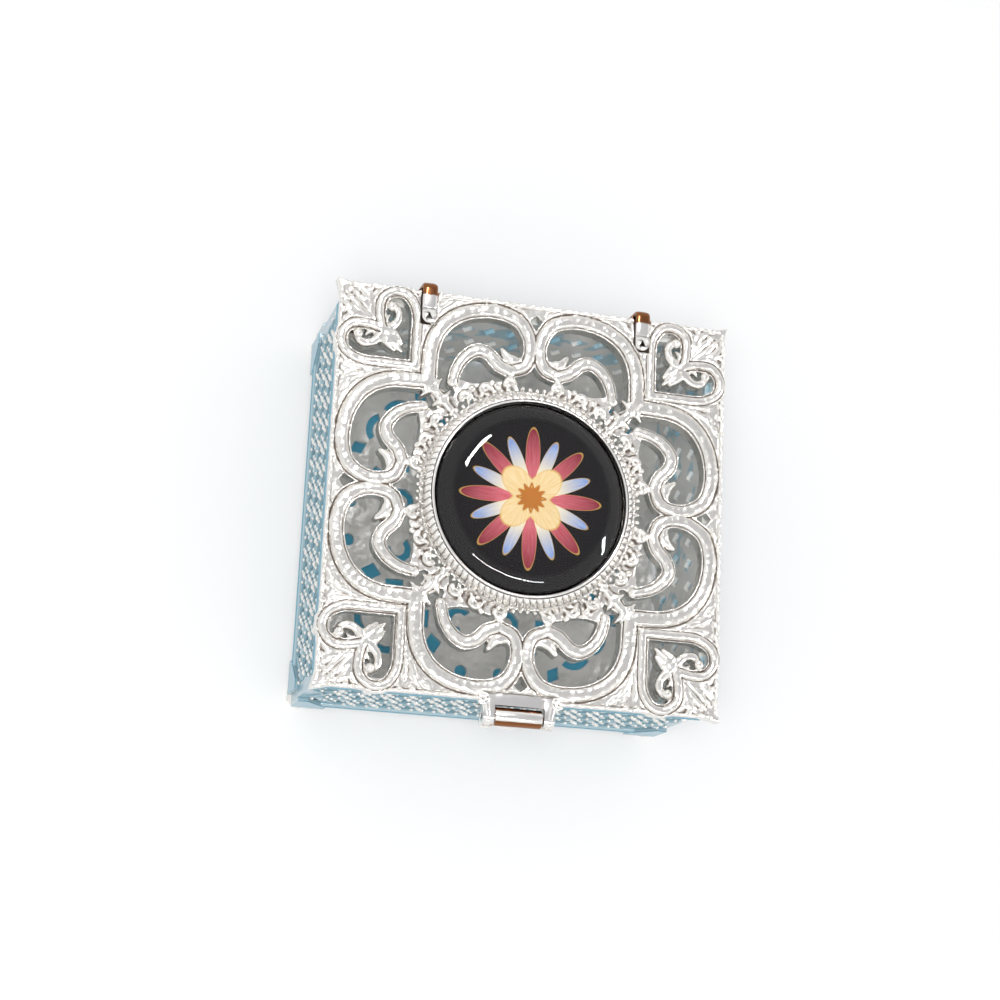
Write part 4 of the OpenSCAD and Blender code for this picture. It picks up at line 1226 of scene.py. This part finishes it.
class ROSARY_OT_materials(bpy.types.Operator):
    """Makes every material of the box and its stage"""
    bl_idname = "rosary.materials"
    bl_label = "Materials"

    def execute(self, context):
        settings = context.scene.rosary_box
        for make in (cast_silver, polished_silver, bead_silver, satin_silver, dull_wire):
            make(settings.silver)
        wall_painted_reflection(settings.wall)
        blue_lacquer(settings.wall)
        clear_glass()
        printed_rosette(settings.picture)
        white_paper(settings.stage)
        return {"FINISHED"}


def softbox(name, place, aim, width, height, power, turn=0.0):
    """A rectangular lamp that points at a place, turned about its own middle."""
    data = bpy.data.lights.new(name, "AREA")
    data.shape = "RECTANGLE"
    data.size, data.size_y = width, height
    data.energy = power
    obj = bpy.data.objects.new(name, data)
    bpy.context.scene.collection.objects.link(obj)
    obj.location = place
    aimed = (Vector(aim) - Vector(place)).to_track_quat("-Z", "Y").to_matrix()
    obj.rotation_euler = (aimed @ Matrix.Rotation(math.radians(turn), 3, "Z")).to_euler()
    return obj


# Windows: name, place in metres, width, height, and turn in degrees
WINDOWS = (("front_window", (0.03, -0.25, 0.5), 0.42, 0.016, -22),
           ("back_window", (-0.02, 0.26, 0.54), 0.12, 0.036, 45),
           ("right_window", (0.5, -0.05, 0.34), 0.2, 0.03, 60))


class ROSARY_OT_stage(bpy.types.Operator):
    """Sets the paper floor, the lamps, the studio's light and the camera"""
    bl_idname = "rosary.stage"
    bl_label = "Stage"

    def execute(self, context):
        stage = context.scene.rosary_box.stage
        reach = 3.0
        mesh = bpy.data.meshes.new("paper_floor")
        mesh.from_pydata([(-reach, -reach, 0), (reach, -reach, 0), (reach, reach, 0), (-reach, reach, 0)], [],
                         [(0, 1, 2, 3)])
        mesh.materials.append(bpy.data.materials["white_paper_sweep"])
        floor = bpy.data.objects.new("paper_floor", mesh)
        # Just under the feet, so that no two faces lie in one plane
        floor.location.z = -0.02 * MM
        context.scene.collection.objects.link(floor)

        aim = (0, 0, 0.02)
        a, e = stage.azimuth, stage.elevation
        back = Vector((math.sin(a) * math.cos(e), -math.cos(a) * math.cos(e), math.sin(e)))
        # The main softbox hangs just above the camera, so its light falls through the openwork. It is
        # kept out of mirrored light, which comes from the tent and from three narrow windows.
        key = softbox("key_softbox", Vector(aim) + 0.7 * back, aim, 0.28, 0.28, stage.key)
        key.visible_glossy = False
        key.visible_transmission = False
        for name, place, width, height, turn in WINDOWS:
            lamp = softbox(name, place, aim, width, height, stage.window, turn)
            lamp.visible_transmission = False
            lamp.visible_diffuse = False

        world = bpy.data.worlds.new("studio")
        context.scene.world = world
        world.use_nodes = True
        tree = world.node_tree
        tree.nodes.clear()
        # A light tent with a dim opening in its roof, where the flat of the lid mirrors it to the camera
        place = add(tree, "TexCoord").outputs["Generated"]
        facing = add(tree, "VectorMath", {0: place, 1: (-back.x, -back.y, back.z)}, operation="DOT_PRODUCT")
        roof = add(tree, "MapRange", {"Value": facing, "From Min": math.cos(stage.opening),
                                      "From Max": math.cos(0.7 * stage.opening)},
                   interpolation_type="SMOOTHSTEP")
        shade = add(tree, "Mix", {"Factor": roof, "A": "#FFFFFF", "B": stage.roof}, data_type="RGBA")
        light = add(tree, "Background", {"Color": shade, "Strength": stage.sky})
        white = add(tree, "Background", {"Color": "#FFFFFF", "Strength": 1.0})
        seen = add(tree, "LightPath").outputs["Is Camera Ray"]
        add(tree, "OutputWorld", {"Surface": add(tree, "MixShader", {0: seen, 1: light, 2: white})})

        data = bpy.data.cameras.new("camera")
        data.lens = stage.lens
        data.sensor_width = 36.0
        data.clip_start, data.clip_end = 0.01, 20.0
        camera = bpy.data.objects.new("camera", data)
        context.scene.collection.objects.link(camera)
        camera.location = Vector(stage.target) + back * stage.distance
        level = (-back).to_track_quat("-Z", "Y").to_matrix()
        camera.rotation_euler = (level @ Matrix.Rotation(stage.roll, 3, "Z")).to_euler()
        context.scene.camera = camera
        context.scene.view_settings.view_transform = "Standard"
        return {"FINISHED"}


class ROSARY_PT_box(bpy.types.Panel):
    """Lists the steps that build the box's looks"""
    bl_idname = "ROSARY_PT_box"
    bl_label = "Rosary Box"
    bl_space_type = "VIEW_3D"
    bl_region_type = "UI"
    bl_category = "Rosary Box"

    def draw(self, context):
        for operator in STEPS:
            self.layout.operator(operator.bl_idname)
        for group in RosaryBoxSettings.__annotations__:
            settings = getattr(context.scene.rosary_box, group)
            column = self.layout.column(heading=group)
            for name in settings.__annotations__:
                column.prop(settings, name)


GROUPS = (SilverLook, WallLook, PictureLook, LidSizes, WallSizes, StageSettings, RosaryBoxSettings)
STEPS = (ROSARY_OT_materials, ROSARY_OT_lid, ROSARY_OT_medallion, ROSARY_OT_walls, ROSARY_OT_floor,
         ROSARY_OT_hinges, ROSARY_OT_clasp, ROSARY_OT_stage)


def register():
    for group in (*GROUPS, *STEPS, ROSARY_PT_box):
        bpy.utils.register_class(group)
    bpy.types.Scene.rosary_box = PointerProperty(type=RosaryBoxSettings)


def unregister():
    del bpy.types.Scene.rosary_box
    for group in reversed((*GROUPS, *STEPS, ROSARY_PT_box)):
        bpy.utils.unregister_class(group)


def main():
    register()
    for operator in STEPS:
        prefix, name = operator.bl_idname.split(".")
        getattr(getattr(bpy.ops, prefix), name)()


if __name__ == "__main__":
    main()
